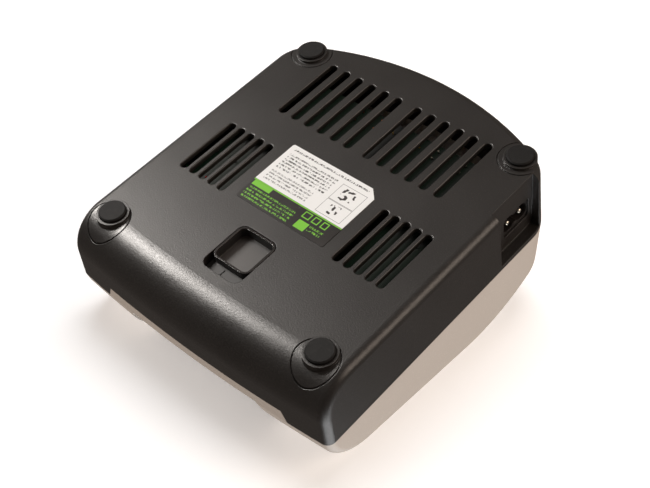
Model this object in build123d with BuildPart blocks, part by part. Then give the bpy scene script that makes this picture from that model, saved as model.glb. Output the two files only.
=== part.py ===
"""Universal charger for power tool batteries, standing on its four rubber feet.

A dark lower shell and a pale upper shell are screwed together from below. An interchangeable battery
adapter sits in a bay in the sloping top and plugs onto a terminal tower. A sprung finger slide in the
underside pulls back the hook that holds the adapter. X runs to the right, Y to the rear, Z up, and the
origin lies on the table below the middle of the housing.
"""

import os
from math import atan2, cos, radians, sin, sqrt, tan

from build123d import *

os.makedirs("parts", exist_ok=True)

# Housing, seen from above at the seam between the shells
BODY_WIDTH = 149.0
FRONT_REACH = 83.5
FRONT_BOW = 3.5
REAR_REACH = 85.3
REAR_BOW = 20.3
REAR_CORNER_R = 19.0
WALL = 2.5

# Housing, seen from the side
FOOT_PROUD = 2.8
BASE_HEIGHT = 32.0
FRONT_ROLL_R = 18.0
RIM_R = 4.0
BASE_DRAFT = 2.0
TOP_DRAFT = 4.5
ROOF_SLOPE = 10.0
TAIL_SLOPE = 40.0
ROOF_APEX_Y = 42.0
ROOF_APEX_RISE = 42.6
HEADROOM = 20.0
NOSE_R = 29.0
CREST_R = 72.0

# The joint between the shells
TAB_DROP = 6.0
TAB_IN = 23.5
STEP_RUN = 2.6
TAB_REACH = 11.0
TONGUE_RISE = 1.8
TONGUE_FACE = 1.3
FIT = 0.1

# Feet, and the screws that they hide
FOOT_IN_X = 14.5
FOOT_IN_FRONT = 19.9
FOOT_IN_REAR = 21.7
FOOT_R = 6.0
FOOT_THICK = 3.0
COLLAR_R = 7.3
COLLAR_PROUD = 1.3
COLLAR_ROOT = 6.0
RING_R = 9.8
RING_FORWARD = 3.0
RING_WIDTH = 0.5
RING_DEPTH = 0.45
SCREW_R = 1.5
SCREW_HEAD_R = 3.0
SCREW_HEAD = 2.0
SCREW_LENGTH = 30.0
DRIVE_WIDTH = 0.9
DRIVE_SHARE = 0.6
FOOT_BREAK = 0.5
BOSS_R = 4.6
TOP_BOSS_R = 4.0
BOSS_JOINT_DROP = 10.0

# Ventilation slots
REAR_SLOT_LENGTH = 38.0
REAR_SLOT_WIDTH = 4.2
REAR_SLOT_PITCH = 7.8
REAR_SLOT_GAP = 11.2
REAR_SLOT_IN = 41.0
SLOTS_PER_GROUP = 6
SIDE_SLOT_LENGTH = 33.3
SIDE_SLOT_WIDTH = 3.9
SIDE_SLOT_PITCH = 5.8
SIDE_SLOT_X = 44.9
SIDE_SLOT_Y = -9.3
SIDE_SLOTS = 5
SLOT_BREAK = 0.3

# Rating label on the underside
LABEL_WIDTH = 50.0
LABEL_DEPTH = 37.3
LABEL_Y = -5.3
LABEL_THICK = 0.2
LABEL_CHAMFER = 4.4
LABEL_R = 1.0

# Release slide in the underside
POCKET_WIDTH = 21.2
POCKET_LENGTH = 26.1
POCKET_IN = 23.8
POCKET_DEPTH = 6.2
POCKET_R = 4.0
POCKET_WALL = 2.0
CUP_GAP = 0.4
CUP_WALL = 0.9
CUP_FLOOR = 0.9
LIP_DEPTH = 4.0
LIP_COVER = 0.6
LIP_GAP = 0.2
RELEASE_TRAVEL = 5.6
STEM_WIDTH = 8.0
STEM_LENGTH = 7.0
STEM_FRONT = 6.0
SLIDER_THICK = 2.6
SLIDER_WIDTH = 18.0
LUG_THICK = 2.0
LUG_RISE = 5.2
HOOK_WIDTH = 10.0
HOOK_THICK = 3.6
HOOK_NOSE = 2.8
HOOK_NOSE_RISE = 3.0
HOOK_NOSE_EDGE = 0.6
GUSSET_THICK = 3.0
GUSSET_RISE = 9.0
GUSSET_RUN = 1.5
SPRING_R = 2.2
SPRING_WIRE = 0.5
SPRING_LENGTH = 13.6
SPRING_TURNS = 7
SPRING_SEAT = 2.2
ARROW_X = 1.5
ARROW_IN = 0.9
ARROW_SHAFT = 0.5
ARROW_LENGTH = 4.2
ARROW_HEAD = 1.2
ARROW_WIDTH = 1.8
ARROW_DEPTH = 0.3
LATCH_SCREW_R = 1.0
LATCH_SCREW_HEAD_R = 2.0
LATCH_SCREW_HEAD = 1.6
LATCH_SCREW_LENGTH = 5.2
SPRING_PEG_R = 1.4
SPRING_PEG = 3.0
RIB_SIDE = 2.0
RIB_CAP = 1.0

# Mains inlet in a recess of the left side wall
RECESS_IN = 54.3
RECESS_LENGTH = 28.5
RECESS_DEPTH = 5.2
RECESS_LEDGE = 2.0
INLET_IN = 17.0
INLET_RISE = 17.7
PIN_SPACING = 8.6
PIN_R = 1.2
PIN_NOSE_R = 0.96
PIN_SET_BACK = 1.6
PIN_ROOT = 2.6
PIN_TAIL_R = 0.7
SOCKET_LOBE_R = 4.1
SOCKET_WAIST = 5.6
SOCKET_DEPTH = 12.5
WINDOW_WIDTH = 17.6
WINDOW_HEIGHT = 11.2
WINDOW_R = 2.0
INLET_WIDTH = 19.4
INLET_HEIGHT = 12.4
INLET_DEPTH = 17.0
FACE_SET_BACK = 0.8

# Adapter bay in the top shell
BAY_HALF = 37.5
BAY_REAR_Y = 42.0
SILL_RISE = 31.0
BAY_WALL = 2.0
BAY_FLOOR = 2.5
NOTCH_CHAMFER = 2.6
NOTCH_CHAMFER_RISE = 5.0
NOTCH_REACH = 11.0

# Battery adapter
ADAPTER_FRONT_IN = 13.5
ADAPTER_CORNER_R = 2.0
ADAPTER_SIDE_GAP = 0.4
ADAPTER_WALL = 2.2
ADAPTER_SUNK = 0.4
ADAPTER_PLATE = 2.4
ADAPTER_REST_GAP = 0.1
WELL_WIDTH = 42.0
WELL_LENGTH = 30.0
WELL_FRONT_IN = 43.0
WELL_R = 7.0
WELL_FLOOR = 2.0
CONTACT_WIDTH = 6.0
CONTACT_THICK = 0.8
CONTACT_BREAK = 0.24
CONTACT_PITCH = 9.5
CONTACT_COUNT = 3
CONTACT_ABOVE = 16.0
BLADE_BELOW = 8.0
PEG_R = 2.5
PEG_LENGTH = 4.0
PEG_X = 28.0
PEG_Y = 30.0
PEG_BREAK = 0.6
LATCH_HALF = 5.6
LATCH_GAP = 0.4
ADAPTER_SCREWS = [(30.0, -60.0), (-30.0, -60.0), (30.0, 34.0), (-30.0, 34.0)]
ADAPTER_SCREW_R = 1.4
ADAPTER_SCREW_HEAD_R = 2.8
ADAPTER_SCREW_HEAD = 1.4
ADAPTER_SCREW_LENGTH = 9.0
ADAPTER_BOSS_R = 3.4
SHOULDER_WIDTH = 7.6
SHOULDER_RISE = 1.0
MOUTH_BREAK = 1.4

# Circuit board
BOARD_RISE = 8.0
BOARD_THICK = 1.6
BOARD_SIDE_GAP = 1.8
BOARD_FRONT_GAP = 6.6
BOARD_REAR_IN = 29.3
BOARD_FRONT_ROW = 7.0
BOARD_REAR_ROW = 26.0
BOARD_SCREW_X = 24.0
BOARD_SCREW_IN = 11.0
BOARD_BOSS_R = 3.0
BOARD_SCREW_R = 1.2
BOARD_SCREW_HEAD_R = 2.3
BOARD_SCREW_HEAD = 1.7
BOARD_SCREW_LENGTH = 6.4

# Parts on the circuit board
LEAD_R = 0.4
LEAD_BELOW = 1.0
MAINS_ROW = 6.0
FUSE_X = -32.0
FUSE_LENGTH = 20.0
FUSE_CAP_R = 2.6
FUSE_CAP = 5.0
FUSE_GLASS_R = 2.4
CLIP_THICK = 0.4
CLIP_WIDTH = 3.6
CLIP_ARM = 4.6
X_CAP_X = -8.0
X_CAP_SIZE = (18.0, 8.4, 15.0)
X_CAP_R = 0.8
X_CAP_PITCH = 15.0
CHOKE_X = 14.0
CHOKE_R = 8.0
CHOKE_HOLE_R = 4.6
CHOKE_THICK = 6.0
CHOKE_COIL = 1.2
CHOKE_SPAN = 130.0
CHOKE_LEAD_OUT = 5.6
CHOKE_LEAD_DROP = 6.4
BULK_CAP_IN = 11.0
BULK_CAP_Y = 4.0
BULK_CAP_R = 9.0
BULK_CAP_HEIGHT = 30.0
OUTPUT_CAPS = [(26.0, 30.0), (12.0, 30.0)]
OUTPUT_CAP_R = 5.0
OUTPUT_CAP_HEIGHT = 16.0
CAP_GROOVE = 0.5
CAN_TOP_SHARE = 0.8
CAN_GROOVE_SHARE = 1 / 3
SINK_GAP = 2.0
SINK_THICK = 2.0
SINK_BEND_R = 1.6
SINK_HEIGHT = 30.0
SINK_LENGTH = 20.0
SINK_FLANGE = 9.0
SINK_SCREW_HEAD = 1.8
PRIMARY_SINK_IN = 32.0
SECONDARY_SINK_IN = 23.0
TAB_DEVICE_WIDTH = 10.0
TAB_DEVICE_BODY = 9.2
TAB_DEVICE_THICK = 4.4
TAB_DEVICE_TAB = 6.4
TAB_THICK = 1.3
TAB_DEVICE_RISE = 5.0
TAB_HOLE_R = 1.8
TAB_PITCH = 2.54
CORE_Y = 4.0
CORE_WIDTH = 24.0
CORE_DEPTH = 10.0
CORE_HEIGHT = 26.0
CORE_YOKE = 3.5
CORE_LEG = 7.0
BOBBIN_BASE = (24.0, 20.0, 3.0)
BOBBIN_WALL = 1.2
BOBBIN_REACH = 9.0
BOBBIN_PITCH = 3.81
COIL_REACH = 8.5
CHIP_AT = (-14.0, 22.0)
CHIP_SIZE = (9.6, 6.4, 3.4)
COUPLER_AT = (20.0, 15.0)
COUPLER_SIZE = (4.6, 6.4, 3.4)
CHIP_PITCH = 2.54
CHIP_LEG = 0.5
CHIP_STAND = 0.8
CHIP_PINS = 4
COUPLER_PINS = 2
TERMINAL_WIDTH = 28.0
TERMINAL_DEPTH = 8.0
TERMINAL_CLIP_GAP = 1.0
TERMINAL_CLIP_THICK = 0.4
TERMINAL_CLIP_DROP = 1.15

# Indicators
LED_R = 2.5
LED_HEIGHT = 8.0
LED_FLANGE_R = 2.9
LED_FLANGE = 1.0
LED_IN = (17.0, 5.0)
PIPE_R = 2.2
SLEEVE_R = 4.0
SLEEVE_LENGTH = 14.0

# Places worked out from the sizes above
HALF_WIDTH = BODY_WIDTH / 2
UNDER_Z = FOOT_PROUD
SEAM_Z = UNDER_Z + BASE_HEIGHT
TAB_Z = SEAM_Z - TAB_DROP
FRONT_CORNER_Y = -FRONT_REACH + FRONT_BOW
TAB_HALF = HALF_WIDTH - TAB_IN
REAR_SLOT_Y = REAR_REACH - REAR_SLOT_IN
TAB_BACK_Y = -FRONT_REACH + TAB_REACH
FLOOR_Z = UNDER_Z + WALL
FOOT_X = HALF_WIDTH - FOOT_IN_X
FOOT_FRONT_Y = -FRONT_REACH + FOOT_IN_FRONT
FOOT_REAR_Y = REAR_REACH - FOOT_IN_REAR
COLLAR_Z = UNDER_Z - COLLAR_PROUD
SCREW_SEAT_Z = FOOT_THICK + SCREW_HEAD + 2 * FIT
BOSS_JOINT_Z = SEAM_Z - BOSS_JOINT_DROP
BAY_FLOOR_Z = UNDER_Z + SILL_RISE
BOARD_Z = UNDER_Z + BOARD_RISE
BOARD_TOP_Z = BOARD_Z + BOARD_THICK
RECESS_X = -HALF_WIDTH + RECESS_DEPTH
RECESS_FRONT_Y = REAR_REACH - RECESS_IN
INLET_Y = RECESS_FRONT_Y + INLET_IN
NOTCH_HALF = BAY_HALF + BAY_WALL
BOARD_HALF = HALF_WIDTH - RECESS_DEPTH - WALL - BOARD_SIDE_GAP
INLET_Z = UNDER_Z + INLET_RISE
APEX_Z = SEAM_Z + ROOF_APEX_RISE
HIGH = APEX_Z + HEADROOM
FAR = 2 * BODY_WIDTH
PLATE_Z = BAY_FLOOR_Z + ADAPTER_REST_GAP
PLATE_TOP_Z = PLATE_Z + ADAPTER_PLATE
ADAPTER_HALF = BAY_HALF - ADAPTER_SIDE_GAP
ADAPTER_FRONT_Y = -FRONT_REACH + ADAPTER_FRONT_IN
ADAPTER_REAR_Y = BAY_REAR_Y - ADAPTER_SIDE_GAP
WELL_Y = ADAPTER_FRONT_Y + WELL_FRONT_IN + WELL_LENGTH / 2
CONTACT_Y = WELL_Y + WELL_LENGTH / 2 - CONTACT_THICK / 2 - FIT
POCKET_FRONT_Y = -FRONT_REACH + POCKET_IN
POCKET_REAR_Y = POCKET_FRONT_Y + POCKET_LENGTH
POCKET_Y = (POCKET_REAR_Y + POCKET_FRONT_Y) / 2
POCKET_FLOOR_Z = UNDER_Z + POCKET_DEPTH
POCKET_ROOF_Z = POCKET_FLOOR_Z + POCKET_WALL
LIP_Z = UNDER_Z + LIP_DEPTH
LIP_FRONT_Y = POCKET_FRONT_Y - LIP_COVER
ARROW_TIP_Y = POCKET_FRONT_Y + ARROW_IN
ARROW_NECK_Y = ARROW_TIP_Y + ARROW_HEAD
CUP_WIDTH = POCKET_WIDTH - 2 * CUP_GAP
CUP_LENGTH = POCKET_LENGTH - RELEASE_TRAVEL - 2 * CUP_GAP
CUP_REAR_Y = POCKET_REAR_Y - CUP_GAP
CUP_FRONT_Y = CUP_REAR_Y - CUP_LENGTH
CUP_Y = (CUP_REAR_Y + CUP_FRONT_Y) / 2
CUP_BACK_Z = POCKET_FLOOR_Z - 2 * FIT
STEM_Y = CUP_FRONT_Y + STEM_FRONT + STEM_LENGTH / 2
SLIDER_Z = POCKET_ROOF_Z + 2 * FIT
SLIDER_TOP_Z = SLIDER_Z + SLIDER_THICK
HOOK_REAR_Y = CUP_REAR_Y - HOOK_NOSE
HOOK_Y = HOOK_REAR_Y - HOOK_THICK / 2
HOOK_TOP_Z = PLATE_TOP_Z + 2 * FIT + HOOK_NOSE_RISE
LUG_Y = STEM_Y - STEM_LENGTH / 2 - RELEASE_TRAVEL - LUG_THICK
SPRING_Z = SLIDER_TOP_Z + SPRING_R
SPRING_FRONT_Y = LUG_Y - LUG_THICK / 2 - SPRING_LENGTH

ADAPTER_Y = (ADAPTER_FRONT_Y + ADAPTER_REAR_Y) / 2
ADAPTER_LENGTH = ADAPTER_REAR_Y - ADAPTER_FRONT_Y
BLADE_Z = BAY_FLOOR_Z - BAY_FLOOR - BLADE_BELOW
BLADE_HEIGHT = PLATE_TOP_Z + WELL_FLOOR + CONTACT_ABOVE - BLADE_Z
CATCH_Y = HOOK_REAR_Y + LATCH_GAP
HOOK_NOSE_Z = HOOK_TOP_Z - HOOK_NOSE_RISE
SPRING_PITCH = (SPRING_LENGTH - SPRING_WIRE) / SPRING_TURNS
FUSE_Z = BOARD_TOP_Z + CLIP_THICK + FUSE_CAP_R
FUSE_CLIP_X = (FUSE_LENGTH - FUSE_CAP) / 2
CHOKE_Z = BOARD_TOP_Z + CHOKE_R + CHOKE_COIL
CORE_Z = BOARD_TOP_Z + BOBBIN_BASE[2]
COIL_HALF = CORE_WIDTH / 2 - CORE_YOKE - FIT
SINK_X = BAY_HALF + BAY_WALL + SINK_GAP + SINK_THICK / 2
SINK_FACE_X = SINK_X + SINK_THICK / 2
TAB_HOLE_Z = BOARD_TOP_Z + TAB_DEVICE_RISE + TAB_DEVICE_BODY + TAB_DEVICE_TAB / 2
TERMINAL_CLIP_Y = TERMINAL_CLIP_GAP / 2
NOTCH_BACK_Y = -FRONT_REACH + NOTCH_REACH
NOTCH_FOOT = NOTCH_HALF - NOTCH_CHAMFER
NOTCH_TOP_Z = BAY_FLOOR_Z + NOTCH_CHAMFER_RISE
LATCH_FRONT_Y = HOOK_Y - HOOK_THICK / 2 - RELEASE_TRAVEL - LATCH_GAP
LATCH_LENGTH = HOOK_THICK + RELEASE_TRAVEL + HOOK_NOSE + 3 * LATCH_GAP

BOARD_FRONT_Y = POCKET_REAR_Y + BOARD_FRONT_GAP
BOARD_REAR_Y = REAR_REACH - BOARD_REAR_IN
MAINS_ROW_Y = BOARD_REAR_Y - MAINS_ROW
PRIMARY_SINK_Y = BOARD_REAR_Y - PRIMARY_SINK_IN
SECONDARY_SINK_Y = BOARD_REAR_Y - SECONDARY_SINK_IN
ROOF_AT_LED_Z = APEX_Z + (BOARD_FRONT_Y + BOARD_FRONT_ROW - ROOF_APEX_Y) * tan(radians(ROOF_SLOPE))
FUSE_AT = (FUSE_X, MAINS_ROW_Y)
X_CAP_AT = (X_CAP_X, MAINS_ROW_Y)
CHOKE_AT = (CHOKE_X, MAINS_ROW_Y)
BULK_CAP_AT = (BULK_CAP_IN - BOARD_HALF, BULK_CAP_Y)
CORE_AT = (BOARD_HALF - CORE_WIDTH / 2, CORE_Y)
SLEEVE_Z = ROOF_AT_LED_Z - SLEEVE_LENGTH
LED_PLACES = [(BOARD_HALF - inward, BOARD_FRONT_Y + BOARD_FRONT_ROW) for inward in LED_IN]
FEET = [(x, y) for y in (FOOT_FRONT_Y, FOOT_REAR_Y) for x in (-FOOT_X, FOOT_X)]
RING_PLACES = [(x, y - RING_FORWARD if y == FOOT_FRONT_Y else y) for x, y in FEET]
FOOT_NAMES = ["front_left", "front_right", "rear_left", "rear_right"]
BOARD_SCREWS = [
    (side * x, y)
    for x, y in (
        (BOARD_SCREW_X, BOARD_FRONT_Y + BOARD_FRONT_ROW),
        (BOARD_HALF - BOARD_SCREW_IN, BOARD_REAR_Y - BOARD_REAR_ROW),
    )
    for side in (-1, 1)
]
CONTACT_XS = [(i - (CONTACT_COUNT - 1) / 2) * CONTACT_PITCH for i in range(CONTACT_COUNT)]
CONTACT_PLACES = [(x, CONTACT_Y) for x in CONTACT_XS]

# Places where leads pass through the circuit board
PIN_TAIL_X = RECESS_X + FACE_SET_BACK + SOCKET_DEPTH + PIN_ROOT / 2
PIN_TAILS = [(PIN_TAIL_X, INLET_Y - PIN_SPACING / 2), (PIN_TAIL_X, INLET_Y + PIN_SPACING / 2)]
CLIP_LEADS = [
    (FUSE_AT[0] + side * FUSE_CLIP_X, FUSE_AT[1] + row * FUSE_GLASS_R)
    for side in (-1, 1)
    for row in (-1, 1)
]
X_CAP_LEADS = [(X_CAP_AT[0] + side * X_CAP_PITCH / 2, X_CAP_AT[1]) for side in (-1, 1)]
CHOKE_LEADS = [
    (CHOKE_AT[0] + side * CHOKE_LEAD_OUT, CHOKE_AT[1] + row * CHOKE_THICK / 2)
    for side in (-1, 1)
    for row in (-1, 1)
]
CORE_LEADS = [
    (CORE_AT[0] + i * BOBBIN_PITCH, CORE_AT[1] + row * BOBBIN_REACH)
    for i in (-2, -1, 0, 1, 2)
    for row in (-1, 1)
]
CAN_LEADS = [
    (x + side * TAB_PITCH, y) for x, y in [BULK_CAP_AT] + OUTPUT_CAPS for side in (-1, 1)
]
DEVICE_LEADS = [
    (side * (SINK_FACE_X + TAB_DEVICE_THICK / 2), y + i * TAB_PITCH)
    for side, y in ((-1, PRIMARY_SINK_Y), (1, SECONDARY_SINK_Y)) for i in (-1, 0, 1)
]
LED_LEGS = (-TAB_PITCH / 2, TAB_PITCH / 2)
LED_LEADS = [(x + dx, y) for x, y in LED_PLACES for dx in LED_LEGS]
CHIP_LEADS = [
    (x + (i - (pins - 1) / 2) * CHIP_PITCH, y + row * (size[1] / 2 + CHIP_LEG))
    for (x, y), size, pins in ((CHIP_AT, CHIP_SIZE, CHIP_PINS), (COUPLER_AT, COUPLER_SIZE, COUPLER_PINS))
    for i in range(pins) for row in (-1, 1)
]
LEAD_PLACES = (
    CLIP_LEADS + X_CAP_LEADS + CHOKE_LEADS + CORE_LEADS + CAN_LEADS
    + DEVICE_LEADS + LED_LEADS + CHIP_LEADS + CONTACT_PLACES
)


def save(builder, name):
    """Labels a finished piece and writes it to its own STEP file."""
    builder.part.label = name
    export_step(builder.part, f"parts/{name}.step")


def bow_radius(bow):
    """Radius of an arc that spans the housing's width and rises by the bow."""
    return (HALF_WIDTH**2 + bow**2) / (2 * bow)


def plan_outline(inset=0.0):
    """The housing's outline at the seam: bowed front, straight sides, arched rear with round corners."""
    half = HALF_WIDTH - inset
    front_r, rear_r = bow_radius(FRONT_BOW), bow_radius(REAR_BOW)
    front_y = front_r - FRONT_REACH - sqrt((front_r - inset) ** 2 - half**2)
    corner_x = HALF_WIDTH - REAR_CORNER_R
    corner_rise = sqrt((rear_r - REAR_CORNER_R) ** 2 - corner_x**2)
    corner_y = REAR_REACH - rear_r + corner_rise
    lean = atan2(corner_rise, corner_x)
    right = [
        (corner_x + (REAR_CORNER_R - inset) * cos(turn), corner_y + (REAR_CORNER_R - inset) * sin(turn))
        for turn in (0, lean / 2, lean)
    ]
    left = [(-x, y) for x, y in reversed(right)]
    with BuildSketch() as plan:
        with BuildLine():
            ThreePointArc((-half, front_y), (0, inset - FRONT_REACH), (half, front_y))
            Line((half, front_y), right[0])
            ThreePointArc(*right)
            ThreePointArc(right[-1], (0, REAR_REACH - inset), left[0])
            ThreePointArc(*left)
            Line(left[-1], (-half, front_y))
        make_face()
    return plan.sketch


def base_form(inset=0.0, rounded=True):
    """The lower shell as a solid, narrowing downwards, with its front rolled under."""
    bottom = UNDER_Z + inset
    with BuildPart() as form:
        with BuildSketch(Plane.XY.offset(SEAM_Z)):
            add(plan_outline(inset))
        extrude(amount=SEAM_Z - bottom, dir=(0, 0, -1), taper=BASE_DRAFT)
        under = form.faces().sort_by(Axis.Z)[0]
        fillet(under.edges().sort_by(Axis.Y)[0], FRONT_ROLL_R - inset)
        if rounded:
            under = form.faces().sort_by(Axis.Z)[0]
            rim = under.edges().sort_by(Axis.Y)[1:]
            corners = form.edges().filter_by(
                lambda e: abs(e.center().X) > HALF_WIDTH - RIM_R
                and e.center().Y < FRONT_CORNER_Y + FRONT_ROLL_R / 2
            )
            fillet(rim + corners, RIM_R)
    return form.part


def flush_with_base(inset, bottom):
    """Everything above the seam, and below it only what stays inside the lower shell's drafted outline."""
    with BuildPart() as limit:
        with BuildSketch(Plane.XY.offset(SEAM_Z)):
            add(plan_outline(inset))
        extrude(amount=SEAM_Z - bottom, dir=(0, 0, -1), taper=BASE_DRAFT)
        with BuildSketch(Plane.XY.offset(SEAM_Z)):
            Rectangle(FAR, FAR)
        extrude(amount=FAR)
    return limit.part


def top_form(inset=0.0, rounded=True):
    """The upper shell as a solid: a roof that climbs to a crest, then falls away to the rear."""
    bottom = TAB_Z - RIM_R
    lead = (SEAM_Z - bottom) * tan(radians(TOP_DRAFT))
    up, down = tan(radians(ROOF_SLOPE)), tan(radians(TAIL_SLOPE))
    front_z = APEX_Z - (ROOF_APEX_Y + FAR) * up - inset / cos(radians(ROOF_SLOPE))
    rear_z = APEX_Z - (FAR - ROOF_APEX_Y) * down - inset / cos(radians(TAIL_SLOPE))
    lowered_up = APEX_Z - inset / cos(radians(ROOF_SLOPE))
    lowered_down = APEX_Z - inset / cos(radians(TAIL_SLOPE))
    apex_y = ROOF_APEX_Y + (lowered_down - lowered_up) / (up + down)
    apex_z = lowered_up + (apex_y - ROOF_APEX_Y) * up
    with BuildPart() as form:
        with BuildSketch(Plane.XY.offset(bottom)):
            add(plan_outline(inset - lead))
        extrude(amount=HIGH - bottom, taper=TOP_DRAFT)
        with BuildSketch(Plane.YZ) as roof_line:
            with BuildLine():
                Polyline(
                    (-FAR, -FAR), (-FAR, front_z), (apex_y, apex_z), (FAR, rear_z), (FAR, -FAR), close=True
                )
            make_face()
            fillet(roof_line.vertices().sort_by(Axis.Y)[-1], CREST_R - inset)
        extrude(amount=FAR, both=True, mode=Mode.INTERSECT)
        roof = form.faces().filter_by(lambda f: f.normal_at().Z > sin(radians(ROOF_SLOPE)))
        fillet(roof.edges().sort_by(Axis.Y)[0], NOSE_R - inset)
        if rounded:
            roof = form.faces().filter_by(lambda f: f.normal_at().Z > sin(radians(ROOF_SLOPE)))
            rim = roof.edges().filter_by(
                lambda e: abs(e.center().X) > HALF_WIDTH - RIM_R or e.center().Y > REAR_REACH - RIM_R
            )
            corners = form.edges().filter_by(
                lambda e: abs(e.center().X) > HALF_WIDTH - RIM_R
                and e.center().Y < FRONT_CORNER_Y + RIM_R
                and e.center().Z > bottom + FIT
            )
            fillet(rim + corners, RIM_R)
        add(flush_with_base(inset, bottom), mode=Mode.INTERSECT)
    return form.part

def seam_side(below=True):
    """Everything below the seam, or everything above it, with the seam's step at the front."""
    reach = FAR if below else -FAR
    with BuildPart() as side:
        with BuildSketch(Plane.XZ.offset(-TAB_BACK_Y)):
            with BuildLine():
                Polyline(
                    (-FAR, SEAM_Z), (-TAB_HALF - STEP_RUN, SEAM_Z), (-TAB_HALF, TAB_Z), (TAB_HALF, TAB_Z),
                    (TAB_HALF + STEP_RUN, SEAM_Z), (FAR, SEAM_Z), (FAR, -reach), (-FAR, -reach), close=True,
                )
            make_face()
        extrude(amount=FAR)
        with BuildSketch(Plane.XZ.offset(-TAB_BACK_Y)):
            with BuildLine():
                Polyline((-FAR, SEAM_Z), (FAR, SEAM_Z), (FAR, -reach), (-FAR, -reach), close=True)
            make_face()
        extrude(amount=-FAR)
    return side.part


def outline_ring(outer, inner, bottom, height, behind_y):
    """A low wall that follows the housing's outline, between two insets, only behind a given Y."""
    with BuildPart() as ring:
        with BuildSketch(Plane.XY.offset(bottom)):
            add(plan_outline(outer))
            add(plan_outline(inner), mode=Mode.SUBTRACT)
        extrude(amount=height)
        with BuildSketch(Plane.XY.offset(bottom)):
            with Locations((0, behind_y)):
                Rectangle(FAR, FAR, align=(Align.CENTER, Align.MIN))
        extrude(amount=height, mode=Mode.INTERSECT)
    return ring.part


def ring_grooves():
    """The thin line pressed around each foot, equally deep on the flat and on the rolled front edge."""
    with BuildPart() as grooves:
        add(base_form(rounded=False))
        add(base_form(RING_DEPTH, rounded=False), mode=Mode.SUBTRACT)
        with BuildSketch(Plane.XY):
            with Locations(*RING_PLACES):
                Circle(RING_R + RING_WIDTH / 2)
                Circle(RING_R - RING_WIDTH / 2, mode=Mode.SUBTRACT)
        extrude(amount=SEAM_Z, mode=Mode.INTERSECT)
    return grooves.part


def recess_block():
    """The solid corner of the lower shell that the recess of the mains inlet is cut into."""
    with BuildPart() as block:
        with BuildSketch(Plane.XY.offset(UNDER_Z)):
            with Locations((RECESS_X + WALL, RECESS_FRONT_Y - WALL)):
                Rectangle(FAR, RECESS_LENGTH + 2 * WALL, align=(Align.MAX, Align.MIN))
        extrude(amount=SEAM_Z - UNDER_Z)
        add(BASE_SOLID, mode=Mode.INTERSECT)
    return block.part


def slot_places():
    """Centres of the ventilation slots: two rear groups and one group on each side."""
    rear = [
        (side * (REAR_SLOT_GAP / 2 + i * REAR_SLOT_PITCH), REAR_SLOT_Y)
        for side in (-1, 1) for i in range(SLOTS_PER_GROUP)
    ]
    sides = [
        (side * (SIDE_SLOT_X + (i - (SIDE_SLOTS - 1) / 2) * SIDE_SLOT_PITCH), SIDE_SLOT_Y)
        for side in (-1, 1) for i in range(SIDE_SLOTS)
    ]
    return rear, sides


def figure_eight(grow=0.0):
    """Outline of the mains socket: two round lobes joined by a narrower waist, lobes along local X."""
    with BuildSketch() as eight:
        with Locations((-PIN_SPACING / 2, 0), (PIN_SPACING / 2, 0)):
            Circle(SOCKET_LOBE_R + grow)
        Rectangle(PIN_SPACING, SOCKET_WAIST + 2 * grow)
    return eight.sketch


def leads(places, top):
    """Round leads that pass through the circuit board and end at a given height."""
    with BuildPart() as wires:
        with BuildSketch(Plane.XY.offset(BOARD_Z - LEAD_BELOW)):
            with Locations(*places):
                Circle(LEAD_R)
        extrude(amount=top - BOARD_Z + LEAD_BELOW)
    return wires.part


def can_capacitor(place, radius, height):
    """An upright electrolytic capacitor: rolled groove near the foot, shallow dish on the top."""
    with BuildPart() as can:
        with BuildSketch(Plane.XY.offset(BOARD_TOP_Z)):
            with Locations(place):
                Circle(radius)
        extrude(amount=height)
        fillet(can.faces().sort_by(Axis.Z)[-1].edges(), CAP_GROOVE)
        with BuildSketch(Plane.XY.offset(BOARD_TOP_Z + height)):
            with Locations(place):
                Circle(radius * CAN_TOP_SHARE)
        extrude(amount=-CAP_GROOVE / 2, mode=Mode.SUBTRACT)
        with BuildSketch(Plane.XY.offset(BOARD_TOP_Z + radius * CAN_GROOVE_SHARE)):
            with Locations(place):
                Circle(radius)
                Circle(radius - CAP_GROOVE, mode=Mode.SUBTRACT)
        extrude(amount=2 * CAP_GROOVE, mode=Mode.SUBTRACT)
        add(leads([(place[0] - TAB_PITCH, place[1]), (place[0] + TAB_PITCH, place[1])], BOARD_TOP_Z))
    return can.part


def heatsink(side, y):
    """An upright aluminium plate, bent over at the top, away from the adapter bay."""
    with BuildPart() as sink:
        with BuildSketch(Plane.XY.offset(BOARD_TOP_Z)):
            with Locations((side * SINK_X, y)):
                Rectangle(SINK_THICK, SINK_LENGTH)
        extrude(amount=SINK_HEIGHT)
        with BuildSketch(Plane.XY.offset(BOARD_TOP_Z + SINK_HEIGHT)):
            with Locations((side * (SINK_X + (SINK_FLANGE - SINK_THICK) / 2), y)):
                Rectangle(SINK_FLANGE, SINK_LENGTH)
        extrude(amount=-SINK_THICK)
        fillet(sink.edges().filter_by(Axis.Y).group_by(Axis.Z)[-1].sort_by(Axis.X)[::side][0], SINK_BEND_R)
        with BuildSketch(Plane.YZ.offset(side * (SINK_X - SINK_THICK / 2))):
            with Locations((y, TAB_HOLE_Z)):
                Circle(SCREW_R)
        extrude(amount=side * SINK_THICK, mode=Mode.SUBTRACT)
    return sink.part


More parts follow.
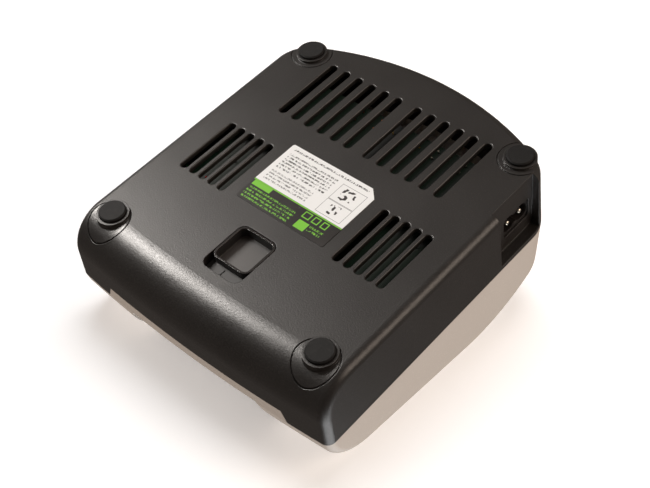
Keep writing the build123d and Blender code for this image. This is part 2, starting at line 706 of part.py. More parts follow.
def tab_device(side, y):
    """A power device with a metal tab, standing with its back against a heatsink, on three legs."""
    with BuildPart() as device:
        with BuildSketch(Plane.YZ.offset(side * SINK_FACE_X)):
            with Locations((y, BOARD_TOP_Z + TAB_DEVICE_RISE)):
                Rectangle(TAB_DEVICE_WIDTH, TAB_DEVICE_BODY, align=(Align.CENTER, Align.MIN))
        extrude(amount=side * TAB_DEVICE_THICK)
        with BuildSketch(Plane.YZ.offset(side * SINK_FACE_X)):
            with Locations((y, BOARD_TOP_Z + TAB_DEVICE_RISE + TAB_DEVICE_BODY)):
                Rectangle(TAB_DEVICE_WIDTH, TAB_DEVICE_TAB, align=(Align.CENTER, Align.MIN))
            with Locations((y, TAB_HOLE_Z)):
                Circle(TAB_HOLE_R, mode=Mode.SUBTRACT)
        extrude(amount=side * TAB_THICK)
        add(leads([place for place in DEVICE_LEADS if place[0] * side > 0], BOARD_TOP_Z + TAB_DEVICE_RISE))
    return device.part


def chip(place, size, pins):
    """A small dual-in-line package: moulded body with a notch, and bent legs into the board."""
    x, y = place
    columns = [(i - (pins - 1) / 2) * CHIP_PITCH for i in range(pins)]
    reach = size[1] / 2 + CHIP_LEG
    with BuildPart() as package:
        with BuildSketch(Plane.XY.offset(BOARD_TOP_Z + CHIP_STAND)):
            with Locations(place):
                Rectangle(size[0], size[1])
        extrude(amount=size[2])
        chamfer(package.faces().sort_by(Axis.Z)[-1].edges(), CHIP_LEG / 2)
        with BuildSketch(Plane.XY.offset(BOARD_TOP_Z + CHIP_STAND + size[2])):
            with Locations((x - size[0] / 2, y)):
                Circle(CHIP_STAND)
        extrude(amount=-CHIP_LEG, mode=Mode.SUBTRACT)
        with BuildSketch(Plane.XY.offset(BOARD_TOP_Z + CHIP_STAND + size[2] / 2)):
            with Locations(*[(x + dx, y) for dx in columns]):
                Rectangle(2 * LEAD_R, 2 * reach + 2 * LEAD_R)
        extrude(amount=CHIP_LEG)
        add(leads([(x + dx, y + row * reach) for dx in columns for row in (-1, 1)],
                  BOARD_TOP_Z + CHIP_STAND + size[2] / 2))
    return package.part


# Outward-facing plane at the mains inlet: local X runs along the wall, local Y up
INLET_FACE = Plane(origin=(RECESS_X, INLET_Y, INLET_Z), x_dir=(0, -1, 0), z_dir=(-1, 0, 0))

CHOKE_PLANE = Plane(origin=(CHOKE_AT[0], CHOKE_AT[1], CHOKE_Z), x_dir=(1, 0, 0), z_dir=(0, 1, 0))

BASE_SOLID = base_form()
BASE_HOLLOW = base_form(WALL, rounded=False)
TOP_SOLID = top_form()
TOP_HOLLOW = top_form(WALL, rounded=False)
BELOW_SEAM = seam_side(below=True)
ABOVE_SEAM = seam_side(below=False)

# Release slide: the rib that the return spring pushes against
SPRING_RIB_HALF = SPRING_R + RIB_SIDE
SPRING_RIB_TOP_Z = SPRING_Z + SPRING_R + RIB_CAP

# Bosses of the circuit board: a hole for the screw, and a solid foot below it
BOARD_HOLE_DEPTH = BOARD_RISE - WALL

# Lower shell --------------------------------------------------------------------------------------------
with BuildPart() as base_housing:
    add(BASE_SOLID)
    add(BASE_HOLLOW, mode=Mode.SUBTRACT)
    add(BELOW_SEAM, mode=Mode.INTERSECT)
    add(outline_ring(TONGUE_FACE, WALL, SEAM_Z - WALL, WALL + TONGUE_RISE, TAB_BACK_Y + STEP_RUN))

    # Collars and tall bosses at the feet
    with BuildSketch(Plane.XY.offset(COLLAR_Z)):
        with Locations(*FEET):
            Circle(COLLAR_R)
    extrude(amount=FLOOR_Z - COLLAR_Z + COLLAR_ROOT)
    with BuildSketch(Plane.XY.offset(UNDER_Z)):
        with Locations(*FEET):
            Circle(BOSS_R)
    extrude(amount=BOSS_JOINT_Z - UNDER_Z)

    # Pocket of the release slide
    with BuildSketch(Plane.XY.offset(UNDER_Z)):
        with Locations((0, POCKET_Y)):
            RectangleRounded(POCKET_WIDTH + 2 * POCKET_WALL, POCKET_LENGTH + 2 * POCKET_WALL, POCKET_R)
    extrude(amount=POCKET_ROOF_Z - UNDER_Z)

    # Rib behind the return spring
    with BuildSketch(Plane.XY.offset(UNDER_Z + RIM_R)):
        with Locations((0, SPRING_FRONT_Y - SPRING_SEAT / 2)):
            Rectangle(2 * SPRING_RIB_HALF, SPRING_SEAT)
    extrude(amount=SPRING_RIB_TOP_Z - UNDER_Z - RIM_R)

    # Bosses of the circuit board
    with BuildSketch(Plane.XY.offset(UNDER_Z)):
        with Locations(*BOARD_SCREWS):
            Circle(BOARD_BOSS_R)
    extrude(amount=BOARD_Z - UNDER_Z)

    # Walls around the recess of the mains inlet
    add(recess_block())

    # Everything that is cut away afterwards
    add(ring_grooves(), mode=Mode.SUBTRACT)
    with BuildSketch(Plane.XY.offset(COLLAR_Z)):
        with Locations(*FEET):
            Circle(FOOT_R + FIT)
    extrude(amount=FOOT_THICK - COLLAR_Z, mode=Mode.SUBTRACT)
    with BuildSketch(Plane.XY):
        with Locations(*FEET):
            Circle(SCREW_HEAD_R + 2 * FIT)
    extrude(amount=SCREW_SEAT_Z, mode=Mode.SUBTRACT)
    with BuildSketch(Plane.XY):
        with Locations(*FEET):
            Circle(SCREW_R + FIT)
    extrude(amount=BOSS_JOINT_Z + FIT, mode=Mode.SUBTRACT)

    with BuildSketch(Plane.XY.offset(UNDER_Z)):
        with Locations((0, POCKET_Y)):
            RectangleRounded(POCKET_WIDTH, POCKET_LENGTH, POCKET_R)
    extrude(amount=POCKET_DEPTH, mode=Mode.SUBTRACT)
    with BuildSketch(Plane.XY.offset(POCKET_FLOOR_Z)):
        with Locations((0, STEM_Y - RELEASE_TRAVEL / 2)):
            Rectangle(STEM_WIDTH + 2 * CUP_GAP, STEM_LENGTH + RELEASE_TRAVEL + 2 * CUP_GAP)
    extrude(amount=POCKET_WALL, mode=Mode.SUBTRACT)
    with BuildSketch(Plane.XY.offset(LIP_Z - LIP_GAP)):
        with Locations((0, POCKET_FRONT_Y + POCKET_R)):
            Rectangle(POCKET_WIDTH, POCKET_R + POCKET_WALL + FIT, align=(Align.CENTER, Align.MAX))
    extrude(amount=POCKET_FLOOR_Z - LIP_Z + LIP_GAP, mode=Mode.SUBTRACT)

    rear_slots, side_slots = slot_places()
    with BuildSketch(Plane.XY.offset(UNDER_Z)):
        with Locations(*rear_slots):
            SlotOverall(REAR_SLOT_LENGTH, REAR_SLOT_WIDTH, rotation=90)
        with Locations(*side_slots):
            SlotOverall(SIDE_SLOT_LENGTH, SIDE_SLOT_WIDTH, rotation=90)
    extrude(amount=WALL, mode=Mode.SUBTRACT)
    slot_mouths = base_housing.faces().filter_by(Axis.Z).filter_by(
        lambda f: abs(f.center().Z - UNDER_Z) < FIT and f.area > LABEL_WIDTH * LABEL_DEPTH
    )
    mouth_edges = slot_mouths.sort_by(SortBy.AREA)[-1].inner_wires().edges().filter_by(
        lambda e: any(
            abs(e.center().X - x) < reach and abs(e.center().Y - y) < length / 2 + FIT
            for places, reach, length in (
                (rear_slots, REAR_SLOT_WIDTH, REAR_SLOT_LENGTH),
                (side_slots, SIDE_SLOT_WIDTH, SIDE_SLOT_LENGTH),
            )
            for x, y in places
        )
    )
    chamfer(mouth_edges, SLOT_BREAK)

    with BuildSketch(Plane.XY.offset(UNDER_Z - FIT)):
        with Locations((RECESS_X, RECESS_FRONT_Y)):
            Rectangle(FAR, RECESS_LENGTH, align=(Align.MAX, Align.MIN))
    extrude(amount=BASE_HEIGHT - RECESS_LEDGE + FIT, mode=Mode.SUBTRACT)
    with BuildSketch(INLET_FACE):
        RectangleRounded(WINDOW_WIDTH, WINDOW_HEIGHT, WINDOW_R)
    extrude(amount=-WALL - FIT, mode=Mode.SUBTRACT)

    with BuildSketch(Plane.XY.offset(BOARD_Z)):
        with Locations(*BOARD_SCREWS):
            Circle(BOARD_SCREW_R + FIT / 2)
    extrude(amount=-BOARD_HOLE_DEPTH, mode=Mode.SUBTRACT)
save(base_housing, "base_housing")

# Upper shell --------------------------------------------------------------------------------------------
with BuildPart() as top_inside:
    with BuildSketch(Plane.XY.offset(BAY_FLOOR_Z - BAY_FLOOR)):
        with Locations((0, BAY_REAR_Y + BAY_WALL)):
            Rectangle(2 * (BAY_HALF + BAY_WALL), FAR, align=(Align.CENTER, Align.MAX))
        with Locations((0, NOTCH_BACK_Y + BAY_WALL)):
            Rectangle(2 * (NOTCH_HALF + BAY_WALL), FAR, align=(Align.CENTER, Align.MAX))
    extrude(amount=HIGH - BAY_FLOOR_Z)
    with BuildSketch(Plane.XY.offset(BOSS_JOINT_Z)):
        with Locations(*FEET):
            Circle(TOP_BOSS_R)
    extrude(amount=HIGH - BOSS_JOINT_Z)
    with BuildSketch(Plane.XY.offset(SLEEVE_Z)):
        with Locations(*LED_PLACES):
            Circle(SLEEVE_R)
    extrude(amount=HIGH - SLEEVE_Z)
    add(TOP_SOLID, mode=Mode.INTERSECT)

with BuildPart() as top_housing:
    add(TOP_SOLID)
    add(TOP_HOLLOW, mode=Mode.SUBTRACT)
    add(ABOVE_SEAM, mode=Mode.INTERSECT)
    add(top_inside)

    # Groove that takes the tongue of the lower shell
    rabbet = outline_ring(
        TONGUE_FACE - FIT, WALL + FIT, SEAM_Z - FIT, TONGUE_RISE + 2 * FIT, TAB_BACK_Y + STEP_RUN - 2 * FIT
    )
    add(rabbet, mode=Mode.SUBTRACT)

    # Adapter bay, and the notch in front of it
    with BuildSketch(Plane.XY.offset(BAY_FLOOR_Z)):
        with Locations((0, BAY_REAR_Y)):
            Rectangle(2 * BAY_HALF, BAY_REAR_Y - NOTCH_BACK_Y, align=(Align.CENTER, Align.MAX))
    extrude(amount=HIGH - BAY_FLOOR_Z, mode=Mode.SUBTRACT)
    with BuildSketch(Plane.XZ.offset(-NOTCH_BACK_Y)):
        with BuildLine():
            Polyline(
                (-NOTCH_FOOT, BAY_FLOOR_Z), (NOTCH_FOOT, BAY_FLOOR_Z), (NOTCH_HALF, NOTCH_TOP_Z),
                (NOTCH_HALF, HIGH), (-NOTCH_HALF, HIGH), (-NOTCH_HALF, NOTCH_TOP_Z), close=True,
            )
        make_face()
    extrude(amount=FAR, mode=Mode.SUBTRACT)

    # Openings in the bay floor: for the hook, the contact blades and the locating pegs
    with BuildSketch(Plane.XY.offset(BAY_FLOOR_Z)):
        with Locations((0, LATCH_FRONT_Y)):
            Rectangle(2 * LATCH_HALF, LATCH_LENGTH, align=(Align.CENTER, Align.MIN))
        with Locations(*CONTACT_PLACES):
            Rectangle(CONTACT_WIDTH + 4 * FIT, CONTACT_THICK + 4 * FIT)
        with Locations((-PEG_X, PEG_Y), (PEG_X, PEG_Y)):
            Circle(PEG_R + FIT)
    extrude(amount=-BAY_FLOOR, mode=Mode.SUBTRACT)

    # Holes for the housing screws and the light pipes
    with BuildSketch(Plane.XY.offset(BOSS_JOINT_Z)):
        with Locations(*FEET):
            Circle(SCREW_R + FIT / 2)
    extrude(amount=SCREW_SEAT_Z + SCREW_LENGTH + WALL - BOSS_JOINT_Z, mode=Mode.SUBTRACT)
    with BuildSketch(Plane.XY.offset(SLEEVE_Z)):
        with Locations(*LED_PLACES):
            Circle(PIPE_R + FIT / 2)
    extrude(amount=HIGH - SLEEVE_Z, mode=Mode.SUBTRACT)
save(top_housing, "top_housing")

# Feet, and the screws behind them -----------------------------------------------------------------------
for foot, foot_name in zip(FEET, FOOT_NAMES):
    with BuildPart() as rubber_foot:
        with BuildSketch(Plane.XY):
            with Locations(foot):
                Circle(FOOT_R)
        extrude(amount=FOOT_THICK)
        chamfer(rubber_foot.faces().sort_by(Axis.Z)[0].edges(), FOOT_BREAK)
    save(rubber_foot, f"rubber_foot_{foot_name}")

with BuildPart() as housing_screws:
    with BuildSketch(Plane.XY.offset(SCREW_SEAT_Z - SCREW_HEAD)):
        with Locations(*FEET):
            Circle(SCREW_HEAD_R)
    extrude(amount=SCREW_HEAD)
    with BuildSketch(Plane.XY.offset(SCREW_SEAT_Z)):
        with Locations(*FEET):
            Circle(SCREW_R)
    extrude(amount=SCREW_LENGTH)
    with BuildSketch(Plane.XY.offset(SCREW_SEAT_Z - SCREW_HEAD)):
        with Locations(*FEET):
            Rectangle(SCREW_HEAD_R, DRIVE_WIDTH)
            Rectangle(DRIVE_WIDTH, SCREW_HEAD_R)
    extrude(amount=SCREW_HEAD * DRIVE_SHARE, mode=Mode.SUBTRACT)
save(housing_screws, "housing_screws")

# Rating label on the underside --------------------------------------------------------------------------
with BuildPart() as rating_label:
    with BuildSketch(Plane.XY.offset(UNDER_Z - LABEL_THICK)) as label_outline:
        with Locations((0, LABEL_Y)):
            Rectangle(LABEL_WIDTH, LABEL_DEPTH)
        corners = label_outline.vertices()
        cut_corner = corners.sort_by(Axis.X)[:2].sort_by(Axis.Y)[-1]
        chamfer(cut_corner, LABEL_CHAMFER)
        fillet([v for v in corners if v is not cut_corner and v != cut_corner], LABEL_R)
    extrude(amount=LABEL_THICK)
save(rating_label, "rating_label")

# Release slide: finger cup and lip below, carrier with the hook above ------------------------------------
with BuildPart() as release_button:
    with BuildSketch(Plane.XY.offset(UNDER_Z)):
        with Locations((0, CUP_Y)):
            RectangleRounded(CUP_WIDTH, CUP_LENGTH, POCKET_R - CUP_GAP)
    extrude(amount=CUP_BACK_Z - UNDER_Z)
    with BuildSketch(Plane.XY.offset(LIP_Z)):
        with Locations((0, LIP_FRONT_Y)):
            Rectangle(CUP_WIDTH, CUP_FRONT_Y + POCKET_R - LIP_FRONT_Y, align=(Align.CENTER, Align.MIN))
    extrude(amount=CUP_BACK_Z - LIP_Z)
    with BuildSketch(Plane.XY.offset(UNDER_Z)):
        with Locations((0, CUP_Y)):
            RectangleRounded(
                CUP_WIDTH - 2 * CUP_WALL, CUP_LENGTH - 2 * CUP_WALL, POCKET_R - CUP_GAP - CUP_WALL
            )
    extrude(amount=CUP_BACK_Z - CUP_FLOOR - UNDER_Z, mode=Mode.SUBTRACT)
    with BuildSketch(Plane.XY.offset(CUP_BACK_Z)):
        with Locations((0, STEM_Y)):
            Rectangle(STEM_WIDTH, STEM_LENGTH)
    extrude(amount=SLIDER_Z - CUP_BACK_Z)
    with BuildSketch(Plane.XY.offset(SLIDER_Z)):
        with Locations((0, STEM_Y)):
            Circle(LATCH_SCREW_R)
    extrude(amount=-(LATCH_SCREW_LENGTH - SLIDER_THICK), mode=Mode.SUBTRACT)
    with BuildSketch(Plane.XY.offset(LIP_Z)):
        with Locations((ARROW_X, ARROW_NECK_Y)):
            Polygon((-ARROW_WIDTH / 2, 0), (ARROW_WIDTH / 2, 0), (0, -ARROW_HEAD), align=None)
            Rectangle(ARROW_SHAFT, ARROW_LENGTH - ARROW_HEAD, align=(Align.CENTER, Align.MIN))
    extrude(amount=ARROW_DEPTH, mode=Mode.SUBTRACT)
save(release_button, "release_button")

with BuildPart() as latch_slider:
    with BuildSketch(Plane.XY.offset(SLIDER_Z)):
        with Locations((0, LUG_Y - LUG_THICK / 2)):
            Rectangle(SLIDER_WIDTH, CUP_REAR_Y - LUG_Y + LUG_THICK / 2, align=(Align.CENTER, Align.MIN))
    extrude(amount=SLIDER_THICK)
    with BuildSketch(Plane.XY.offset(SLIDER_TOP_Z)):
        with Locations((0, LUG_Y)):
            Rectangle(HOOK_WIDTH, LUG_THICK)
    extrude(amount=LUG_RISE)
    with BuildSketch(Plane.XZ.offset(-LUG_Y + LUG_THICK / 2)):
        with Locations((0, SPRING_Z)):
            Circle(SPRING_PEG_R)
    extrude(amount=SPRING_PEG)
    with BuildSketch(Plane.YZ.offset(-HOOK_WIDTH / 2)):
        with BuildLine():
            Polyline(
                (HOOK_REAR_Y - HOOK_THICK, SLIDER_TOP_Z), (HOOK_REAR_Y - HOOK_THICK, HOOK_TOP_Z),
                (HOOK_REAR_Y, HOOK_TOP_Z), (CUP_REAR_Y, HOOK_NOSE_Z + HOOK_NOSE_EDGE),
                (CUP_REAR_Y, HOOK_NOSE_Z),
                (HOOK_REAR_Y, HOOK_NOSE_Z), (HOOK_REAR_Y, SLIDER_TOP_Z), close=True,
            )
        make_face()
    extrude(amount=HOOK_WIDTH)
    with BuildSketch(Plane.YZ.offset(-GUSSET_THICK / 2)):
        with BuildLine():
            Polyline(
                (HOOK_REAR_Y - HOOK_THICK, SLIDER_TOP_Z),
                (HOOK_REAR_Y - HOOK_THICK, SLIDER_TOP_Z + GUSSET_RISE),
                (HOOK_REAR_Y - HOOK_THICK - GUSSET_RUN, SLIDER_TOP_Z), close=True,
            )
        make_face()
    extrude(amount=GUSSET_THICK)
    with BuildSketch(Plane.XY.offset(SLIDER_Z)):
        with Locations((0, STEM_Y)):
            Circle(LATCH_SCREW_R + FIT)
    extrude(amount=SLIDER_THICK, mode=Mode.SUBTRACT)
save(latch_slider, "latch_slider")

with BuildPart() as latch_screw:
    with BuildSketch(Plane.XY.offset(SLIDER_TOP_Z)):
        with Locations((0, STEM_Y)):
            Circle(LATCH_SCREW_HEAD_R)
    extrude(amount=LATCH_SCREW_HEAD)
    with BuildSketch(Plane.XY.offset(SLIDER_TOP_Z)):
        with Locations((0, STEM_Y)):
            Circle(LATCH_SCREW_R)
    extrude(amount=-LATCH_SCREW_LENGTH)
    with BuildSketch(Plane.XY.offset(SLIDER_TOP_Z + LATCH_SCREW_HEAD)):
        with Locations((0, STEM_Y)):
            Rectangle(LATCH_SCREW_HEAD_R, DRIVE_WIDTH)
            Rectangle(DRIVE_WIDTH, LATCH_SCREW_HEAD_R)
    extrude(amount=-LATCH_SCREW_HEAD * DRIVE_SHARE, mode=Mode.SUBTRACT)
save(latch_screw, "latch_screw")

with BuildPart() as release_spring:
    with BuildLine() as coil:
        Helix(
            SPRING_PITCH, SPRING_LENGTH - SPRING_WIRE, SPRING_R - SPRING_WIRE / 2,
            center=(0, SPRING_FRONT_Y + SPRING_WIRE / 2, SPRING_Z), direction=(0, 1, 0),
        )
    with BuildSketch(coil.line ^ 0):
        Circle(SPRING_WIRE / 2)
    sweep()
save(release_spring, "release_spring")

# Mains inlet --------------------------------------------------------------------------------------------
with BuildPart() as mains_inlet:
    with BuildSketch(INLET_FACE.offset(-WALL)):
        with Locations((0, (BOARD_TOP_Z - INLET_Z + INLET_HEIGHT / 2) / 2)):
            Rectangle(INLET_WIDTH, INLET_HEIGHT / 2 + INLET_Z - BOARD_TOP_Z)
    extrude(amount=FACE_SET_BACK + WALL - INLET_DEPTH - FACE_SET_BACK)
    with BuildSketch(INLET_FACE.offset(-WALL)):
        RectangleRounded(WINDOW_WIDTH - 2 * FIT, WINDOW_HEIGHT - 2 * FIT, WINDOW_R - FIT)
    extrude(amount=WALL - FACE_SET_BACK)
    with BuildSketch(INLET_FACE.offset(-FACE_SET_BACK)):
        add(figure_eight())
    extrude(amount=-SOCKET_DEPTH, mode=Mode.SUBTRACT)
    with BuildSketch(INLET_FACE.offset(-FACE_SET_BACK - SOCKET_DEPTH)):
        with Locations((-PIN_SPACING / 2, 0), (PIN_SPACING / 2, 0)):
            Circle(PIN_R)
    extrude(amount=-PIN_ROOT, mode=Mode.SUBTRACT)
    with BuildSketch(Plane.XY.offset(BOARD_TOP_Z)):
        with Locations(*PIN_TAILS):
            Circle(PIN_TAIL_R)
    extrude(amount=INLET_Z - BOARD_TOP_Z, mode=Mode.SUBTRACT)
save(mains_inlet, "mains_inlet")

with BuildPart() as inlet_pins:
    with BuildSketch(INLET_FACE.offset(-FACE_SET_BACK - PIN_SET_BACK)):
        with Locations((-PIN_SPACING / 2, 0), (PIN_SPACING / 2, 0)):
            Circle(PIN_R)
    extrude(amount=-(SOCKET_DEPTH - PIN_SET_BACK + PIN_ROOT))
    fillet(inlet_pins.edges().group_by(Axis.X)[0], PIN_NOSE_R)
    with BuildSketch(Plane.XY.offset(BOARD_Z - LEAD_BELOW)):
        with Locations(*PIN_TAILS):
            Circle(PIN_TAIL_R)
    extrude(amount=INLET_Z - BOARD_Z + LEAD_BELOW)
save(inlet_pins, "inlet_pins")

# Circuit board and its screws ---------------------------------------------------------------------------
with BuildPart() as circuit_board:
    with BuildSketch(Plane.XY.offset(BOARD_Z)) as board_outline:
        with Locations((0, BOARD_FRONT_Y)):
            Rectangle(2 * BOARD_HALF, BOARD_REAR_Y - BOARD_FRONT_Y, align=(Align.CENTER, Align.MIN))
        fillet(board_outline.vertices(), RIM_R)
        with Locations(*BOARD_SCREWS):
            Circle(BOARD_SCREW_R + 2 * FIT, mode=Mode.SUBTRACT)
        with Locations(*PIN_TAILS):
            Circle(PIN_TAIL_R + FIT, mode=Mode.SUBTRACT)
        with Locations(*LEAD_PLACES):
            Circle(LEAD_R + FIT, mode=Mode.SUBTRACT)
    extrude(amount=BOARD_THICK)
save(circuit_board, "circuit_board")

with BuildPart() as board_screws:
    with BuildSketch(Plane.XY.offset(BOARD_TOP_Z)):
        with Locations(*BOARD_SCREWS):
            Circle(BOARD_SCREW_HEAD_R)
    extrude(amount=BOARD_SCREW_HEAD)
    with BuildSketch(Plane.XY.offset(BOARD_TOP_Z)):
        with Locations(*BOARD_SCREWS):
            Circle(BOARD_SCREW_R)
    extrude(amount=-BOARD_SCREW_LENGTH)
    with BuildSketch(Plane.XY.offset(BOARD_TOP_Z + BOARD_SCREW_HEAD)):
        with Locations(*BOARD_SCREWS):
            Rectangle(BOARD_SCREW_HEAD_R, DRIVE_WIDTH)
            Rectangle(DRIVE_WIDTH, BOARD_SCREW_HEAD_R)
    extrude(amount=-BOARD_SCREW_HEAD * DRIVE_SHARE, mode=Mode.SUBTRACT)
save(board_screws, "board_screws")

# Mains side of the board: fuse, interference capacitor, choke, bulk capacitor ----------------------------
with BuildPart() as fuse:
    with BuildSketch(Plane.YZ.offset(FUSE_AT[0] - FUSE_LENGTH / 2)):
        with Locations((FUSE_AT[1], FUSE_Z)):
            Circle(FUSE_GLASS_R)
    extrude(amount=FUSE_LENGTH)
    for end in (FUSE_AT[0] - FUSE_LENGTH / 2, FUSE_AT[0] + FUSE_LENGTH / 2 - FUSE_CAP):
        with BuildSketch(Plane.YZ.offset(end)):
            with Locations((FUSE_AT[1], FUSE_Z)):
                Circle(FUSE_CAP_R)
        extrude(amount=FUSE_CAP)
save(fuse, "fuse")

with BuildPart() as fuse_clips:
    for middle in (FUSE_AT[0] - FUSE_CLIP_X, FUSE_AT[0] + FUSE_CLIP_X):
        with BuildSketch(Plane.YZ.offset(middle - CLIP_WIDTH / 2)):
            with Locations((FUSE_AT[1], BOARD_TOP_Z)):
                Rectangle(
                    2 * (FUSE_CAP_R + CLIP_THICK), CLIP_THICK + FUSE_CAP_R + CLIP_ARM / 2,
                    align=(Align.CENTER, Align.MIN),
                )
            with Locations((FUSE_AT[1], BOARD_TOP_Z + CLIP_THICK)):
                Rectangle(
                    2 * FUSE_CAP_R, FUSE_CAP_R + CLIP_ARM, align=(Align.CENTER, Align.MIN), mode=Mode.SUBTRACT
                )
        extrude(amount=CLIP_WIDTH)
    add(leads(CLIP_LEADS, BOARD_TOP_Z))
save(fuse_clips, "fuse_clips")

with BuildPart() as x_capacitor:
    with BuildSketch(Plane.XY.offset(BOARD_TOP_Z)):
        with Locations(X_CAP_AT):
            Rectangle(X_CAP_SIZE[0], X_CAP_SIZE[1])
    extrude(amount=X_CAP_SIZE[2])
    fillet(x_capacitor.edges().filter_by(Axis.Z) + x_capacitor.faces().sort_by(Axis.Z)[-1].edges(), X_CAP_R)
    add(leads(X_CAP_LEADS, BOARD_TOP_Z))
save(x_capacitor, "x_capacitor")

with BuildPart() as choke_core:
    with BuildSketch(CHOKE_PLANE):
        Circle(CHOKE_R)
        Circle(CHOKE_HOLE_R, mode=Mode.SUBTRACT)
    extrude(amount=CHOKE_THICK / 2, both=True)
save(choke_core, "choke_core")

with BuildPart() as choke_windings:
    with BuildSketch(CHOKE_PLANE) as coil_plan:
        for facing in (0, 180):
            with BuildLine():
                reach = CHOKE_R + CHOKE_COIL
                start, middle, end = [
                    (reach * cos(radians(facing + turn)), reach * sin(radians(facing + turn)))
                    for turn in (-CHOKE_SPAN / 2, 0, CHOKE_SPAN / 2)
                ]
                Line((0, 0), start)
                ThreePointArc(start, middle, end)
                Line(end, (0, 0))
            make_face()
        Circle(CHOKE_HOLE_R - CHOKE_COIL, mode=Mode.SUBTRACT)
    extrude(amount=CHOKE_THICK / 2 + CHOKE_COIL, both=True)
    add(leads(CHOKE_LEADS, CHOKE_Z - CHOKE_LEAD_DROP))
    add(choke_core.part, mode=Mode.SUBTRACT)
save(choke_windings, "choke_windings")

with BuildPart() as bulk_capacitor:
    add(can_capacitor(BULK_CAP_AT, BULK_CAP_R, BULK_CAP_HEIGHT))
save(bulk_capacitor, "bulk_capacitor")

# Switching side and output side ---------------------------------------------------------------------------
with BuildPart() as primary_heatsink:
    add(heatsink(-1, PRIMARY_SINK_Y))
save(primary_heatsink, "primary_heatsink")

with BuildPart() as secondary_heatsink:
    add(heatsink(1, SECONDARY_SINK_Y))
save(secondary_heatsink, "secondary_heatsink")

with BuildPart() as switching_transistor:
    add(tab_device(-1, PRIMARY_SINK_Y))
save(switching_transistor, "switching_transistor")

with BuildPart() as rectifier_diode:
    add(tab_device(1, SECONDARY_SINK_Y))
save(rectifier_diode, "rectifier_diode")

with BuildPart() as heatsink_screws:
    for side, y in ((-1, PRIMARY_SINK_Y), (1, SECONDARY_SINK_Y)):
        with BuildSketch(Plane.YZ.offset(side * (SINK_FACE_X + TAB_THICK))):
            with Locations((y, TAB_HOLE_Z)):
                Circle(SCREW_HEAD_R - FIT)
        extrude(amount=side * SINK_SCREW_HEAD)
        with BuildSketch(Plane.YZ.offset(side * (SINK_FACE_X - SINK_THICK))):
            with Locations((y, TAB_HOLE_Z)):
                Circle(SCREW_R)
        extrude(amount=side * (SINK_THICK + TAB_THICK))
save(heatsink_screws, "heatsink_screws")

with BuildPart() as output_capacitors:
    for place in OUTPUT_CAPS:
        add(can_capacitor(place, OUTPUT_CAP_R, OUTPUT_CAP_HEIGHT))
save(output_capacitors, "output_capacitors")

# Transformer ----------------------------------------------------------------------------------------------
with BuildPart() as transformer_core:
    with BuildSketch(Plane.XY.offset(CORE_Z)):
        with Locations(CORE_AT):
            Rectangle(CORE_WIDTH, CORE_DEPTH)
    extrude(amount=CORE_HEIGHT)
    with BuildSketch(Plane.XY.offset(CORE_Z + CORE_YOKE)):
        with Locations(CORE_AT):
            Rectangle(CORE_WIDTH - 2 * CORE_YOKE, CORE_DEPTH)
            Rectangle(CORE_LEG, CORE_DEPTH, mode=Mode.SUBTRACT)
    extrude(amount=CORE_HEIGHT - 2 * CORE_YOKE, mode=Mode.SUBTRACT)
save(transformer_core, "transformer_core")

with BuildPart() as transformer_bobbin:
    with BuildSketch(Plane.XY.offset(BOARD_TOP_Z)):
        with Locations(CORE_AT):
            Rectangle(BOBBIN_BASE[0], BOBBIN_BASE[1])
    extrude(amount=BOBBIN_BASE[2])
    with BuildSketch(Plane.XY.offset(CORE_Z)):
        with Locations(CORE_AT):
            Rectangle(2 * COIL_HALF, CORE_DEPTH + 2 * BOBBIN_WALL)
            Rectangle(2 * COIL_HALF, CORE_DEPTH, mode=Mode.SUBTRACT)
    extrude(amount=CORE_YOKE)
    for flange_z in (CORE_Z + CORE_YOKE, CORE_Z + CORE_HEIGHT - CORE_YOKE - BOBBIN_WALL):
        with BuildSketch(Plane.XY.offset(flange_z)):
            with Locations(CORE_AT):
                Rectangle(2 * COIL_HALF, 2 * BOBBIN_REACH)
                Rectangle(CORE_LEG, CORE_DEPTH, mode=Mode.SUBTRACT)
        extrude(amount=BOBBIN_WALL)
    with BuildSketch(Plane.XY.offset(CORE_Z + CORE_YOKE)):
        with Locations(CORE_AT):
            Rectangle(CORE_LEG + 2 * BOBBIN_WALL, CORE_DEPTH + 2 * BOBBIN_WALL)
            Rectangle(CORE_LEG, CORE_DEPTH, mode=Mode.SUBTRACT)
    extrude(amount=CORE_HEIGHT - 2 * CORE_YOKE)
    add(leads(CORE_LEADS, BOARD_TOP_Z))
save(transformer_bobbin, "transformer_bobbin")

with BuildPart() as transformer_winding:
    with BuildSketch(Plane.XY.offset(CORE_Z + CORE_YOKE + BOBBIN_WALL)):
        with Locations(CORE_AT):
            RectangleRounded(2 * (COIL_HALF - FIT), 2 * COIL_REACH, RIM_R)
            Rectangle(CORE_LEG + 2 * BOBBIN_WALL, CORE_DEPTH + 2 * BOBBIN_WALL, mode=Mode.SUBTRACT)
    extrude(amount=CORE_HEIGHT - 2 * CORE_YOKE - 2 * BOBBIN_WALL)
save(transformer_winding, "transformer_winding")

# Control parts and indicators -----------------------------------------------------------------------------
with BuildPart() as control_chip:
    add(chip(CHIP_AT, CHIP_SIZE, CHIP_PINS))
save(control_chip, "control_chip")

with BuildPart() as optocoupler:
    add(chip(COUPLER_AT, COUPLER_SIZE, COUPLER_PINS))
save(optocoupler, "optocoupler")

for led_place, led_name in zip(LED_PLACES, ("red_led", "green_led")):
    with BuildPart() as led:
        with BuildSketch(Plane.XY.offset(BOARD_TOP_Z)):
            with Locations(led_place):
                Circle(LED_FLANGE_R)
        extrude(amount=LED_FLANGE)
        with BuildSketch(Plane.XY.offset(BOARD_TOP_Z)):
            with Locations(led_place):
                Circle(LED_R)
        extrude(amount=LED_HEIGHT)
        fillet(led.faces().sort_by(Axis.Z)[-1].edges(), LED_R - FIT)
        add(leads([(led_place[0] + dx, led_place[1]) for dx in LED_LEGS], BOARD_TOP_Z))
    save(led, led_name)

